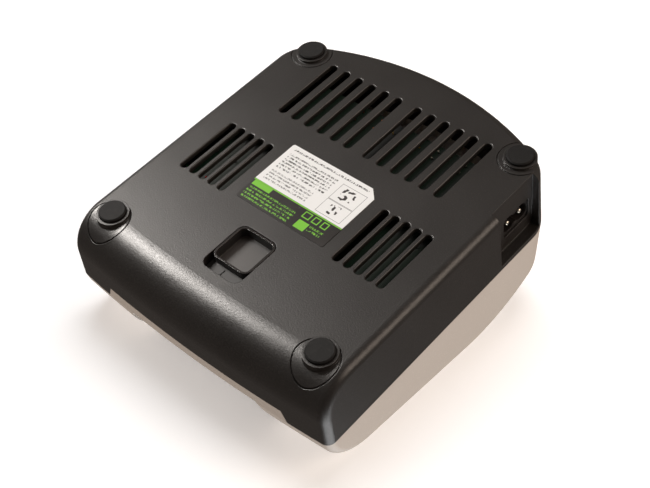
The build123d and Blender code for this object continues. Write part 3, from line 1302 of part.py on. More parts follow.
with BuildPart() as light_pipes:
    with BuildSketch(Plane.XY.offset(BOARD_TOP_Z + LED_HEIGHT + FIT)):
        with Locations(*LED_PLACES):
            Circle(PIPE_R)
    extrude(amount=HIGH - BOARD_TOP_Z - LED_HEIGHT)
    add(TOP_SOLID, mode=Mode.INTERSECT)
save(light_pipes, "light_pipes")

# Terminal tower that the adapter plugs onto ---------------------------------------------------------------
with BuildPart() as terminal_block:
    with BuildSketch(Plane.XY.offset(BOARD_TOP_Z)):
        with Locations((0, CONTACT_Y)):
            Rectangle(TERMINAL_WIDTH, TERMINAL_DEPTH)
    extrude(amount=BAY_FLOOR_Z - BAY_FLOOR - BOARD_TOP_Z)
    with BuildSketch(Plane.XY.offset(BOARD_TOP_Z)):
        with Locations(*CONTACT_PLACES):
            Rectangle(CONTACT_WIDTH + 4 * FIT, 2 * TERMINAL_CLIP_Y + 2 * TERMINAL_CLIP_THICK)
    extrude(amount=HIGH, mode=Mode.SUBTRACT)
save(terminal_block, "terminal_block")

with BuildPart() as terminal_clips:
    with BuildSketch(Plane.XY.offset(BOARD_TOP_Z)):
        with Locations(*CONTACT_PLACES):
            Rectangle(CONTACT_WIDTH, 2 * TERMINAL_CLIP_Y + 2 * TERMINAL_CLIP_THICK)
    extrude(amount=BAY_FLOOR_Z - BAY_FLOOR - BOARD_TOP_Z - TERMINAL_CLIP_DROP)
    with BuildSketch(Plane.XY.offset(BOARD_TOP_Z + TERMINAL_CLIP_THICK)):
        with Locations(*CONTACT_PLACES):
            Rectangle(CONTACT_WIDTH, 2 * TERMINAL_CLIP_Y)
    extrude(amount=HIGH, mode=Mode.SUBTRACT)
    add(leads(CONTACT_PLACES, BOARD_TOP_Z))
save(terminal_clips, "terminal_clips")

# Battery adapter ------------------------------------------------------------------------------------------
with BuildPart() as adapter_inside:
    with BuildSketch(Plane.XY.offset(PLATE_TOP_Z)):
        with Locations((0, ADAPTER_Y)):
            Rectangle(2 * (ADAPTER_HALF - ADAPTER_WALL), ADAPTER_LENGTH - 2 * ADAPTER_WALL)
    extrude(amount=HIGH - PLATE_TOP_Z)
    with BuildSketch(Plane.XY.offset(PLATE_TOP_Z)):
        with Locations((0, WELL_Y)):
            RectangleRounded(
                WELL_WIDTH + 2 * ADAPTER_WALL, WELL_LENGTH + 2 * ADAPTER_WALL, WELL_R + ADAPTER_WALL
            )
        with Locations(*ADAPTER_SCREWS):
            Circle(ADAPTER_BOSS_R)
    extrude(amount=HIGH - PLATE_TOP_Z, mode=Mode.SUBTRACT)
    add(top_form(ADAPTER_SUNK + ADAPTER_WALL, rounded=False), mode=Mode.INTERSECT)

with BuildPart() as adapter_shell:
    with BuildSketch(Plane.XY.offset(PLATE_TOP_Z)):
        with Locations((0, ADAPTER_Y)):
            RectangleRounded(2 * ADAPTER_HALF, ADAPTER_LENGTH, ADAPTER_CORNER_R)
    extrude(amount=HIGH - PLATE_TOP_Z)
    add(top_form(ADAPTER_SUNK, rounded=False), mode=Mode.INTERSECT)
    with BuildSketch(Plane.XY.offset(PLATE_TOP_Z + WELL_FLOOR)):
        with Locations((0, WELL_Y)):
            RectangleRounded(WELL_WIDTH, WELL_LENGTH, WELL_R)
    extrude(amount=HIGH - PLATE_TOP_Z, mode=Mode.SUBTRACT)
    roof_face = adapter_shell.faces().filter_by(lambda f: f.normal_at().Z > sin(radians(TAIL_SLOPE)))
    chamfer(roof_face.sort_by(SortBy.AREA)[-1].inner_wires().edges(), MOUTH_BREAK)
    add(adapter_inside.part, mode=Mode.SUBTRACT)
    with BuildSketch(Plane.XY.offset(PLATE_TOP_Z)):
        with Locations(*CONTACT_PLACES):
            Rectangle(CONTACT_WIDTH + 2 * FIT, CONTACT_THICK + 2 * FIT)
    extrude(amount=WELL_FLOOR, mode=Mode.SUBTRACT)
    with BuildSketch(Plane.XY.offset(PLATE_TOP_Z)):
        with Locations(*CONTACT_PLACES):
            Rectangle(SHOULDER_WIDTH + 2 * FIT, CONTACT_THICK + 2 * FIT)
    extrude(amount=SHOULDER_RISE, mode=Mode.SUBTRACT)
    with BuildSketch(Plane.XY.offset(PLATE_TOP_Z)):
        with Locations(*ADAPTER_SCREWS):
            Circle(ADAPTER_SCREW_R)
    extrude(amount=ADAPTER_SCREW_LENGTH + FIT, mode=Mode.SUBTRACT)
save(adapter_shell, "adapter_shell")

with BuildPart() as adapter_plate:
    with BuildSketch(Plane.XY.offset(PLATE_Z)):
        with Locations((0, ADAPTER_Y)):
            RectangleRounded(2 * ADAPTER_HALF, ADAPTER_LENGTH, ADAPTER_CORNER_R)
        with Locations((0, CATCH_Y)):
            Rectangle(
                2 * (LATCH_HALF + LATCH_GAP), LATCH_LENGTH,
                align=(Align.CENTER, Align.MAX), mode=Mode.SUBTRACT,
            )
        with Locations(*CONTACT_PLACES):
            Rectangle(CONTACT_WIDTH + 2 * FIT, CONTACT_THICK + 2 * FIT, mode=Mode.SUBTRACT)
    extrude(amount=ADAPTER_PLATE)
    with BuildSketch(Plane.XY.offset(PLATE_Z)):
        with Locations((-PEG_X, PEG_Y), (PEG_X, PEG_Y)):
            Circle(PEG_R)
    extrude(amount=-PEG_LENGTH)
    chamfer(adapter_plate.faces().group_by(Axis.Z)[0].edges(), PEG_BREAK)
    with BuildSketch(Plane.XY.offset(PLATE_Z)):
        with Locations(*ADAPTER_SCREWS):
            Circle(ADAPTER_SCREW_HEAD_R + FIT)
    extrude(amount=ADAPTER_SCREW_HEAD, mode=Mode.SUBTRACT)
    with BuildSketch(Plane.XY.offset(PLATE_Z)):
        with Locations(*ADAPTER_SCREWS):
            Circle(ADAPTER_SCREW_R + FIT)
    extrude(amount=ADAPTER_PLATE, mode=Mode.SUBTRACT)
save(adapter_plate, "adapter_plate")

with BuildPart() as adapter_contacts:
    with BuildSketch(Plane.XZ.offset(-CONTACT_Y - CONTACT_THICK / 2)):
        with Locations(*[(x, BLADE_Z) for x in CONTACT_XS]):
            Rectangle(CONTACT_WIDTH, BLADE_HEIGHT, align=(Align.CENTER, Align.MIN))
        with Locations(*[(x, PLATE_TOP_Z) for x in CONTACT_XS]):
            Rectangle(SHOULDER_WIDTH, SHOULDER_RISE, align=(Align.CENTER, Align.MIN))
    extrude(amount=CONTACT_THICK)
    tips = adapter_contacts.edges().filter_by(Axis.X)
    chamfer(tips.group_by(Axis.Z)[0] + tips.group_by(Axis.Z)[-1], CONTACT_BREAK)
save(adapter_contacts, "adapter_contacts")

with BuildPart() as adapter_screws:
    with BuildSketch(Plane.XY.offset(PLATE_Z)):
        with Locations(*ADAPTER_SCREWS):
            Circle(ADAPTER_SCREW_HEAD_R)
    extrude(amount=ADAPTER_SCREW_HEAD)
    with BuildSketch(Plane.XY.offset(PLATE_Z)):
        with Locations(*ADAPTER_SCREWS):
            Circle(ADAPTER_SCREW_R)
    extrude(amount=ADAPTER_PLATE + ADAPTER_SCREW_LENGTH)
    with BuildSketch(Plane.XY.offset(PLATE_Z)):
        with Locations(*ADAPTER_SCREWS):
            Rectangle(ADAPTER_SCREW_HEAD_R, DRIVE_WIDTH)
            Rectangle(DRIVE_WIDTH, ADAPTER_SCREW_HEAD_R)
    extrude(amount=ADAPTER_SCREW_HEAD * DRIVE_SHARE, mode=Mode.SUBTRACT)
save(adapter_screws, "adapter_screws")
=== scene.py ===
from math import cos, pi, radians, sin, tau

import bmesh
import bpy
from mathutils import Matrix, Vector


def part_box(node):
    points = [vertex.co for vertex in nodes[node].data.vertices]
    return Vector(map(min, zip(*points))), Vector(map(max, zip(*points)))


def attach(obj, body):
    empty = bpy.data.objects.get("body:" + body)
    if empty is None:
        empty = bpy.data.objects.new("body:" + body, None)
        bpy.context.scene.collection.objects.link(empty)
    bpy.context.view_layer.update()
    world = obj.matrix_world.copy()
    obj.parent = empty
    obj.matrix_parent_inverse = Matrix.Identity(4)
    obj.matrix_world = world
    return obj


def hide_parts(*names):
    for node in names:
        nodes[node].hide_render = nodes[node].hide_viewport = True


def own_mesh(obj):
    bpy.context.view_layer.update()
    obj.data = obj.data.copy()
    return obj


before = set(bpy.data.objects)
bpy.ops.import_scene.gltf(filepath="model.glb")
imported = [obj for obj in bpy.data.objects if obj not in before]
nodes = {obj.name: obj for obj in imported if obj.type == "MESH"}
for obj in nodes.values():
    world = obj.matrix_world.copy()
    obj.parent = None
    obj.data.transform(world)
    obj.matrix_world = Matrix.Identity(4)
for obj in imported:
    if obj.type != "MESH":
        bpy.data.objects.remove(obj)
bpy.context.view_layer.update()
MM = 0.001

# The camera: low in front of the inlet corner, looking up at the underside, with the charger's
# feet towards it. The charger itself stands upright in the frame, so the picture is taken from below.
CAMERA_PLACE = (-0.265766, -0.231600, -0.360803)
CAMERA_TURN = (-139.06997, -6.22749, 138.16487)
CAMERA_LENS = 65.828
SENSOR_WIDTH = 36.0
NEAREST_SEEN = 0.01
camera_data = bpy.data.cameras.new("camera")
camera_data.lens = CAMERA_LENS
camera_data.sensor_width = SENSOR_WIDTH
camera_data.clip_start = NEAREST_SEEN
camera = bpy.data.objects.new("camera", camera_data)
camera.location = CAMERA_PLACE
camera.rotation_euler = [radians(a) for a in CAMERA_TURN]
bpy.context.scene.collection.objects.link(camera)
bpy.context.scene.camera = camera


# Lower housing: injection-moulded black ABS with a fine spark-eroded grain. The grain is in the
# mould, so it covers every face but the release pocket, and the edges are a little rounded.
class Strand:
    """A socket of a finish. Sums on it add Math nodes to the same finish."""

    def __init__(self, finish, socket):
        self.finish, self.socket = finish, socket

    def maths(self, operation, *terms):
        return self.finish.node("ShaderNodeMath", {"operation": operation}, dict(enumerate(terms)))

    def __add__(self, other):
        return self.maths("ADD", self, other)

    def __radd__(self, other):
        return self.maths("ADD", other, self)

    def __sub__(self, other):
        return self.maths("SUBTRACT", self, other)

    def __rsub__(self, other):
        return self.maths("SUBTRACT", other, self)

    def __mul__(self, other):
        return self.maths("MULTIPLY", self, other)

    def __rmul__(self, other):
        return self.maths("MULTIPLY", other, self)

    def __truediv__(self, other):
        return self.maths("DIVIDE", self, other)

    def __abs__(self):
        return self.maths("ABSOLUTE", self)

    def fract(self):
        return self.maths("FRACT", self)

    def whole(self):
        return self.maths("FLOOR", self)

    def most(self, other):
        return self.maths("MAXIMUM", self, other)

    def rise(self, low, high):
        """0 below low, 1 above high, with a soft step between them."""
        return self.finish.node(
            "ShaderNodeMapRange", {"interpolation_type": "SMOOTHSTEP"}, {0: self, 1: low, 2: high}
        )

    def within(self, low, high, soft=0.05):
        """1 between low and high, with soft ends."""
        return self.rise(low - soft, low + soft) * (1 - self.rise(high - soft, high + soft))


class Finish:
    """A procedural finish: a Principled shader and the nodes that feed it, in millimetres of the part."""

    def __init__(self, name):
        self.material = bpy.data.materials.new(name)
        self.material.use_nodes = True
        self.tree = self.material.node_tree
        self.shader = self.tree.nodes["Principled BSDF"]
        part = self.node("ShaderNodeTexCoord", output="Object")
        self.place = self.node(
            "ShaderNodeVectorMath", {"operation": "SCALE"}, {"Vector": part, "Scale": 1 / MM}
        )
        self.x, self.y, self.z = (
            self.node("ShaderNodeSeparateXYZ", {}, {0: self.place}, output=axis) for axis in "XYZ"
        )

    def node(self, kind, settings=None, inputs=None, output=0):
        """Adds a node: its settings first, then the values or strands of its sockets."""
        made = self.tree.nodes.new(kind)
        for key, value in (settings or {}).items():
            setattr(made, key, value)
        for key, value in (inputs or {}).items():
            if isinstance(value, Strand):
                self.tree.links.new(value.socket, made.inputs[key])
            else:
                made.inputs[key].default_value = value
        return Strand(self, made.outputs[output])

    def noise(self, size, detail=2.0, roughness=0.5, place=None):
        """Soft noise from 0 to 1 whose blotches are about size millimetres across."""
        return self.node(
            "ShaderNodeTexNoise",
            {},
            {"Vector": place or self.place, "Scale": 1 / size, "Detail": detail, "Roughness": roughness},
        )

    def mix(self, first, second, mask):
        """The second colour where the mask is 1, the first where it is 0."""
        colours = [c if isinstance(c, Strand) else (*c, 1.0) for c in (first, second)]
        sockets = {0: mask, 6: colours[0], 7: colours[1]}
        return self.node("ShaderNodeMix", {"data_type": "RGBA"}, sockets, output=2)

    def bump(self, height, depth, edge=0.0):
        """A bump whose full height is depth millimetres, over edges broken to the radius edge."""
        inputs = {"Height": height, "Distance": depth * MM, "Strength": 1.0}
        if edge:
            inputs["Normal"] = self.node("ShaderNodeBevel", {"samples": 4}, {"Radius": edge * MM})
        return self.node("ShaderNodeBump", {}, inputs)

    def feed(self, **sockets):
        """Links or sets the Principled shader's own sockets; underscores stand for spaces."""
        for key, value in sockets.items():
            socket = self.shader.inputs[key.replace("_", " ")]
            if isinstance(value, Strand):
                self.tree.links.new(value.socket, socket)
            else:
                socket.default_value = (*value, 1.0) if isinstance(value, tuple) else value
        return self

    def dress(self, *names):
        """Puts the finish on CAD nodes or pieces, by name."""
        for name in names:
            wearer = nodes.get(name) or bpy.data.objects[name]
            wearer.data.materials.clear()
            wearer.data.materials.append(self.material)
        return self


DRIFT_SIZE = 38.0


def moulded(name, colour, pale, rough=0.5, grain=0.9, depth=0.02, edge=0.3, shine=0.35, smooth=None):
    """Moulded plastic whose colour drifts a little to the pale one. Where smooth is 1 it has no grain."""
    made = Finish(name)
    drift = made.noise(DRIFT_SIZE, 3.0)
    pits = made.noise(grain, 3.0, 0.6)
    if smooth:
        pits = 0.5 + (pits - 0.5) * (1 - smooth(made))
    specks = made.noise(grain * 0.8, 1.0).rise(0.55, 0.75)
    return made.feed(
        Base_Color=made.mix(colour, pale, drift * 0.35 + specks * 0.45),
        Roughness=rough + (pits - 0.5) * 0.24 + (drift - 0.5) * 0.08,
        Normal=made.bump(pits, depth, edge),
        Specular_IOR_Level=shine,
    )


BLACK = (0.010, 0.0084, 0.0074)
BLACK_PALE = (0.040, 0.034, 0.030)
POCKET_HALF = 10.6
POCKET_ENDS = (-60.5, -33.0)
POCKET_EDGE_Z = 3.2


def pocket(finish):
    """1 inside the release pocket, where the mould has no grain."""
    inside = finish.x.within(-POCKET_HALF, POCKET_HALF) * finish.y.within(*POCKET_ENDS)
    return inside * finish.z.rise(POCKET_EDGE_Z - 0.2, POCKET_EDGE_Z + 0.2)


moulded(
    "black_housing", BLACK, BLACK_PALE, rough=0.38, grain=0.7, depth=0.06, edge=0.45, shine=0.5, smooth=pocket
).dress("base_housing")

# Feet: four black rubber discs pressed into collars over the housing screws. They are matte, with a
# little dust in the pores.
RUBBER = (0.005, 0.0043, 0.004)
RUBBER_DUSTY = (0.015, 0.0128, 0.012)
rubber = Finish("foot_rubber")
dust = rubber.noise(2.4, 4.0).rise(0.5, 0.75)
scuff = rubber.noise(0.6, 3.0)
rubber.feed(
    Base_Color=rubber.mix(RUBBER, RUBBER_DUSTY, dust * 0.5),
    Specular_IOR_Level=0.22,
    Roughness=0.72 + (scuff - 0.5) * 0.2,
    Normal=rubber.bump(scuff, 0.03),
).dress(*("rubber_foot_" + place for place in ("front_left", "front_right", "rear_left", "rear_right")))


# Screws: zinc-plated steel. Four long ones under the feet hold the two shells together, and short
# ones hold the board, the parts on the heatsinks and the release carrier.
def plated(name, colour, dull, rough=0.32):
    """Plated or bare metal: fine streaks in the roughness, duller where it has been handled."""
    made = Finish(name)
    cloud = made.noise(3.0, 3.0).rise(0.35, 0.8)
    fine = made.noise(0.25, 2.0)
    return made.feed(
        Base_Color=made.mix(colour, dull, cloud * 0.5),
        Metallic=1.0,
        Roughness=rough + cloud * 0.12 + (fine - 0.5) * 0.1,
        Normal=made.bump(fine, 0.004),
    )


plated("zinc_plating", (0.62, 0.62, 0.60), (0.45, 0.46, 0.48)).dress(
    "housing_screws", "board_screws", "heatsink_screws", "latch_screw"
)

# Rating label: a satin printed film in a shallow recess of the underside, cut off at one corner.
# The print is plain bands, rules and blocks in grey, black and green, with nothing to read.
LABEL_MID = (0.0, -5.3)
FILM_WHITE = (0.89, 0.88, 0.86)
FILM_BLACK = (0.012, 0.009, 0.0075)
PRINT_GREY = (0.035, 0.027, 0.026)
PRINT_GREEN = (0.19, 0.55, 0.03)
BAND_EDGE = -6.2
ROW_PITCH = 1.75
GREEN_PITCH = 1.9
SMALL_MARK = 0.5
GREEN_MARK = 0.55
BOLD_LINE = 0.5
DOT_SIZE = 1 / 0.62
label = Finish("label_film")
across = LABEL_MID[0] - label.x
along = label.y - LABEL_MID[1]


def block(left, right, front, rear, soft=0.06):
    """1 inside a printed rectangle; left and right as one reads the label, with the pale band on top."""
    return across.within(left, right, soft) * along.within(front, rear, soft)


def outline(left, right, front, rear, line=0.16):
    """The thin border of a printed box."""
    return block(left, right, front, rear) - block(left + line, right - line, front + line, rear - line)


def greeked(left, right, rear, rows, pitch, mark, seed):
    """Rows of short broken marks, in the place of small print: no letters, only its grey texture."""
    front = rear - rows * pitch
    row = ((rear - along) / pitch).whole()
    height = ((rear - along) / pitch).fract()
    spot = label.node("ShaderNodeCombineXYZ", {}, {0: across / mark, 1: row * 3.7 + seed, 2: height * 1.6})
    broken = label.noise(1.0, 1.0, 0.5, spot).rise(0.47, 0.53)
    return broken * height.within(0.24, 0.74, 0.1) * block(left, right, front, rear)


pale_band = along.rise(BAND_EDGE - 0.08, BAND_EDGE + 0.08)
heading = greeked(-22.4, 20.5, 17.2, 1, 1.9, 0.62, 4.0)
notes = greeked(-22.4, 5.6, 14.0, 6, ROW_PITCH, SMALL_MARK, 11.0)
figures = greeked(-22.4, 2.0, 2.4, 4, ROW_PITCH, SMALL_MARK, 29.0)
boxes = outline(8.6, 22.2, 3.6, 13.4).most(outline(8.6, 22.2, -5.0, 3.4))
dots = label.noise(DOT_SIZE, 0.0)
sketch = dots.rise(0.6, 0.64) * block(11.4, 19.6, 5.2, 12.0).most(block(12.4, 17.6, -3.6, 2.2))
ink = heading.most(notes).most(figures * 0.8).most(boxes).most(sketch)

green_head = block(-24.0, -13.6, -9.8, -7.0)
green_rows = greeked(-23.6, 3.4, -10.3, 4, GREEN_PITCH, GREEN_MARK, 47.0)
green_marks = outline(6.4, 10.4, -11.2, -7.6, BOLD_LINE).most(outline(11.8, 15.2, -11.2, -7.6, BOLD_LINE))
green_marks = green_marks.most(outline(16.6, 19.8, -11.2, -7.6, BOLD_LINE)).most(block(7.0, 12.6, -17.2, -12.6))
green_marks = green_marks.most(greeked(13.4, 20.6, -12.4, 2, GREEN_PITCH, GREEN_MARK, 61.0))
green_line = along.within(BAND_EDGE - 0.75, BAND_EDGE - 0.1)
green = green_head.most(green_rows * 0.85).most(green_marks).most(green_line)

film = label.noise(9.0, 2.0)
scuffs = label.noise(1.6, 4.0, 0.7).rise(0.62, 0.8)
ground = label.mix(FILM_BLACK, FILM_WHITE, pale_band)
printed = label.mix(label.mix(ground, PRINT_GREY, ink * pale_band), PRINT_GREEN, green * (1 - pale_band))
label.feed(
    Base_Color=label.mix(printed, FILM_WHITE, scuffs * 0.06),
    Roughness=0.34 + (film - 0.5) * 0.08 + scuffs * 0.12,
    Normal=label.bump(film * 0.6 + label.noise(0.8) * 0.4, 0.004),
)
label.dress("rating_label")

# Adapter release: a black ABS finger slide in the pocket of the underside. The rim of its cup is
# polished. The cup's walls are painted near black as painted shade, and its floor is grained and
# painted paler than the housing around it, as a painted lift against the shade of the walls.
RIM_BLACK = (0.011, 0.0092, 0.0082)
RIM_PALE = (0.024, 0.020, 0.018)
# Painted shade: the cup's walls are painted nearly black for the shade inside the cup.
SHADED_WALL_BLACK = (0.004, 0.0034, 0.003)
CUP_RIM_Z = 3.1
CUP_FLOOR_Z = 7.9
release = Finish("release_black")
grip = release.noise(0.7, 3.0, 0.6)
polished = release.mix(RIM_BLACK, RIM_PALE, grip)
# Painted light: the cup's floor is painted in the housing's pale tone to lift the shade that falls on it.
lifted_cup_floor = release.z.rise(CUP_FLOOR_Z - 0.6, CUP_FLOOR_Z - 0.1)
shaded_cup_wall = release.z.rise(CUP_RIM_Z, CUP_RIM_Z + 0.5) * (1 - lifted_cup_floor)
release.feed(
    Base_Color=release.mix(release.mix(polished, SHADED_WALL_BLACK, shaded_cup_wall), BLACK_PALE, lifted_cup_floor),
    Roughness=0.2 + shaded_cup_wall * 0.4 + lifted_cup_floor * 0.2 + (grip - 0.5) * 0.12,
    Normal=release.bump(grip, 0.006, 0.3),
    Specular_IOR_Level=0.6,
).dress("release_button")

# Release carrier: natural nylon, screwed to the back of the finger slide. Its hook reaches through
# the bay's floor and holds the adapter.
moulded(
    "natural_nylon", (0.56, 0.52, 0.44), (0.66, 0.62, 0.54), rough=0.42, grain=0.6, depth=0.01
).dress("latch_slider")

# Return spring: seven turns of bright spring wire between the carrier's lug and a rib of the lower
# housing, wound as one coil. The real spring shortens towards the rib when the slide is pressed;
# this coil is built at rest and does not.
SPRING_TURNS = 7
SPRING_WIRE = 0.5 * MM
WIRE_SIDES = 10
STEPS_A_TURN = 30


def piece(name, build, body):
    """Turns a finished bmesh into a smooth-shaded piece that rides on a body."""
    bmesh.ops.recalc_face_normals(build, faces=build.faces)
    shape = bpy.data.meshes.new(name)
    build.to_mesh(shape)
    build.free()
    shape.shade_smooth()
    made = bpy.data.objects.new(name, shape)
    bpy.context.scene.collection.objects.link(made)
    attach(made, body)
    return made


def skin(build, rings):
    """Joins rings of vertices by quads, and closes both ends."""
    for one, other in zip(rings, rings[1:]):
        for k in range(len(one)):
            after = (k + 1) % len(one)
            build.faces.new((one[k], one[after], other[after], other[k]))
    build.faces.new(rings[0])
    build.faces.new(rings[-1])


def corners(name):
    """A CAD node's lowest and highest corners at rest, in metres."""
    return [Vector(corner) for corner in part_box(name)]


low, high = corners("release_spring")
coil_middle = (low + high) / 2
coil_radius = (high.x - low.x - SPRING_WIRE) / 2
coil_reach = high.y - low.y - SPRING_WIRE
forward = Vector((0.0, 1.0, 0.0))
coil = bmesh.new()
wire_rings = []
for step in range(SPRING_TURNS * STEPS_A_TURN + 1):
    turn = tau * step / STEPS_A_TURN
    spoke = Vector((cos(turn), 0.0, sin(turn)))
    share = step / (SPRING_TURNS * STEPS_A_TURN) - 0.5
    spot = coil_middle + spoke * coil_radius + forward * (share * coil_reach)
    ring = []
    for k in range(WIRE_SIDES):
        angle = tau * k / WIRE_SIDES
        ring.append(coil.verts.new(spot + (spoke * cos(angle) + forward * sin(angle)) * (SPRING_WIRE / 2)))
    wire_rings.append(ring)
skin(coil, wire_rings)
return_spring = piece("return_spring", coil, "housing")
plated("spring_wire", (0.66, 0.65, 0.63), (0.5, 0.49, 0.47), rough=0.25).dress("return_spring")
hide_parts("release_spring")
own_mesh(return_spring)

# Mains inlet: a black two-pole inlet block clipped into the recess of the side, moulded a little
# finer than the housing around it.
moulded(
    "inlet_black", (0.012, 0.010, 0.009), (0.026, 0.021, 0.019), rough=0.38, grain=0.3, depth=0.012
).dress("mains_inlet")

# Inlet pins: two nickelled brass pins. Each ends in a turned nose with a rounded edge, which is what
# shows in the mouth of the inlet.
PIN_R = 1.2 * MM
NOSE_REACH = 1.5 * MM
NOSE_R = 0.9 * MM
NOSE_STEPS = 6
PIN_SIDES = 32
profile = []
for k in range(NOSE_STEPS, -1, -1):
    angle = pi / 2 * k / NOSE_STEPS
    profile.append((NOSE_R * (1 - sin(angle)), PIN_R - NOSE_R * (1 - cos(angle))))
profile.append((NOSE_REACH + NOSE_R, PIN_R * 0.999))
low, high = corners("inlet_pins")
noses = bmesh.new()
for pin_y in (low.y + PIN_R, high.y - PIN_R):
    tip = Vector((low.x - NOSE_REACH, pin_y, high.z - PIN_R))
    nose_rings = []
    for x, r in profile:
        ring = []
        for k in range(PIN_SIDES):
            angle = tau * k / PIN_SIDES
            ring.append(noses.verts.new(tip + Vector((x, r * cos(angle), r * sin(angle)))))
        nose_rings.append(ring)
    skin(noses, nose_rings)
piece("inlet_pin_noses", noses, "housing")
nickel = plated("nickelled_brass", (0.80, 0.76, 0.66), (0.62, 0.56, 0.45), rough=0.24)
nickel.dress("inlet_pins", "inlet_pin_noses")

# Circuit board: glass epoxy under dark green solder resist, painted almost black as painted shade for the dark
# inside of the slots, screwed to posts of the lower housing.
# The parts of the next sections are soldered to it.
# Painted shade: the resist colours are near black, so the board reads as the shade inside the slots.
moulded(
    "solder_resist_and_shade", (0.003, 0.009, 0.0045), (0.006, 0.015, 0.008), rough=0.5, grain=1.2, depth=0.01
).dress("circuit_board")


# Fuse: a glass tube between two nickelled end caps, held by a pair of tinned brass clips on the mains
# side of the board.
def two_part(name, plastic, metal, bare, rough=0.3):
    """A part of two stuffs: bare metal where the mask is 1, and a coloured sleeve or glass elsewhere."""
    made = bare.finish
    cloud = made.noise(2.5, 3.0)
    pale = tuple(min(1.0, c * 1.25 + 0.01) for c in plastic)
    return made.feed(
        Base_Color=made.mix(made.mix(plastic, pale, cloud), metal, bare),
        Metallic=bare,
        Roughness=rough + (cloud - 0.5) * 0.12,
        Normal=made.bump(made.noise(0.4, 2.0), 0.006),
    ).dress(name)


FUSE_GLASS = (0.60, 0.64, 0.64)
FUSE_CAP_METAL = (0.74, 0.72, 0.68)
FUSE_CAP = 5.0
fuse = Finish("fuse")
low, high = (corner / MM for corner in corners("fuse"))
cap_inner = (high.x - low.x) / 2 - FUSE_CAP
capped = abs(fuse.x - (low.x + high.x) / 2).rise(cap_inner - 0.05, cap_inner + 0.05)
two_part("fuse", FUSE_GLASS, FUSE_CAP_METAL, capped, rough=0.14)
plated("tinned_brass", (0.70, 0.66, 0.58), (0.52, 0.47, 0.40), rough=0.3).dress("fuse_clips")

# Mains filter: a yellow film capacitor in a moulded case, and a choke of enamelled copper wire wound
# on a green coated ferrite ring.
moulded("yellow_case", (0.66, 0.40, 0.03), (0.74, 0.48, 0.06), rough=0.4).dress("x_capacitor")
moulded("green_ferrite", (0.02, 0.12, 0.05), (0.04, 0.18, 0.08), rough=0.5).dress("choke_core")
plated("enamelled_copper", (0.60, 0.22, 0.07), (0.42, 0.13, 0.04), rough=0.3).dress("choke_windings")

# Electrolytic capacitors: one large one on the mains side and smaller ones at the output. Each is an
# aluminium can in a shrunk plastic sleeve that leaves the top bare.
ALUMINIUM = (0.70, 0.71, 0.72)
SLEEVES = {"bulk_capacitor": (0.020, 0.020, 0.024), "output_capacitors": (0.014, 0.026, 0.085)}
SLEEVE_END = 0.3
for name, sleeve in SLEEVES.items():
    can = Finish(name)
    top_z = corners(name)[1].z / MM
    bare_top = can.z.rise(top_z - SLEEVE_END - 0.04, top_z - SLEEVE_END + 0.04)
    two_part(name, sleeve, ALUMINIUM, bare_top, rough=0.3)

# Heatsinks: bent plates of bare aluminium that stand on the board. A switching transistor is screwed
# to one and a rectifier diode to the other, both cast in black epoxy like the control chip.
plated("bare_aluminium", ALUMINIUM, (0.56, 0.57, 0.58), rough=0.36).dress("primary_heatsink", "secondary_heatsink")
moulded("epoxy_black", (0.018, 0.018, 0.020), (0.03, 0.03, 0.034), rough=0.42, grain=0.2).dress(
    "switching_transistor", "rectifier_diode", "control_chip"
)

# Optocoupler: a small package of white epoxy that bridges the gap between the board's mains side and
# its output side.
moulded("epoxy_white", (0.60, 0.60, 0.54), (0.68, 0.68, 0.62), rough=0.45, grain=0.2).dress("optocoupler")

# Transformer: a grey ferrite core around a black phenolic bobbin. The winding is wrapped in yellow
# polyester tape.
moulded("ferrite_grey", (0.035, 0.035, 0.038), (0.06, 0.06, 0.065), rough=0.6, grain=0.3).dress("transformer_core")
phenolic = moulded("phenolic_black", (0.016, 0.015, 0.014), (0.03, 0.028, 0.026), rough=0.5)
phenolic.dress("transformer_bobbin")
moulded("yellow_tape", (0.66, 0.46, 0.05), (0.72, 0.55, 0.10), rough=0.3, grain=2.0).dress("transformer_winding")

# Terminal tower: a black phenolic block that stands on the board under the bay's floor. Its nickelled
# clips take the contacts of the adapter.
phenolic.dress("terminal_block")
nickel.dress("terminal_clips")

# Lamps: red and green indicator lamps on the board, and clear acrylic light pipes over them in
# sleeves of the upper housing.
moulded("red_lens", (0.26, 0.010, 0.009), (0.34, 0.02, 0.016), rough=0.15, grain=1.0, depth=0.002).dress("red_led")
moulded("green_lens", (0.02, 0.34, 0.04), (0.04, 0.42, 0.08), rough=0.15, grain=1.0, depth=0.002).dress("green_led")
ACRYLIC_INDEX = 1.49
pipe = Finish("clear_acrylic")
haze = pipe.noise(2.0, 2.0)
pipe.feed(
    Base_Color=pipe.mix((0.92, 0.94, 0.94), (0.80, 0.83, 0.83), haze * 0.4),
    Roughness=0.08 + haze * 0.06,
    Transmission_Weight=0.9,
    IOR=ACRYLIC_INDEX,
    Normal=pipe.bump(haze, 0.004),
).dress("light_pipes")

# Upper housing: the same plastic in warm light grey, with a finer grain. It closes over the lower
# housing at a stepped seam and carries the adapter's bay.
GREY = (0.57, 0.515, 0.465)
GREY_PALE = (0.67, 0.61, 0.555)
moulded("grey_housing", GREY, GREY_PALE, rough=0.5, depth=0.025).dress("top_housing")

# Adapter: a black shell with the battery well, held to a black plate by blackened screws. Nickelled
# contacts run down from the well to the clips in the terminal tower.
moulded("adapter_black", (0.020, 0.0155, 0.013), (0.040, 0.031, 0.027), rough=0.5, depth=0.03).dress(
    "adapter_shell", "adapter_plate"
)
plated("black_oxide", (0.06, 0.06, 0.06), (0.10, 0.095, 0.09), rough=0.4).dress("adapter_screws")
nickel.dress("adapter_contacts")

# Floor: plain and pale. The charger lies on its roof in the main view, so one floor lies against the
# roof and shows from below only; the other is under the feet and shows from above only.
FLOOR_WHITE = (0.92, 0.92, 0.925)
FLOOR_GLOW = 0.32
GLOW_WARMTH = (1.0, 0.95, 0.92)
FLOOR_REACH = 6.0
ROOF_SLOPE = radians(10.0)
ROOF_LINE = (0.042, 0.0774)


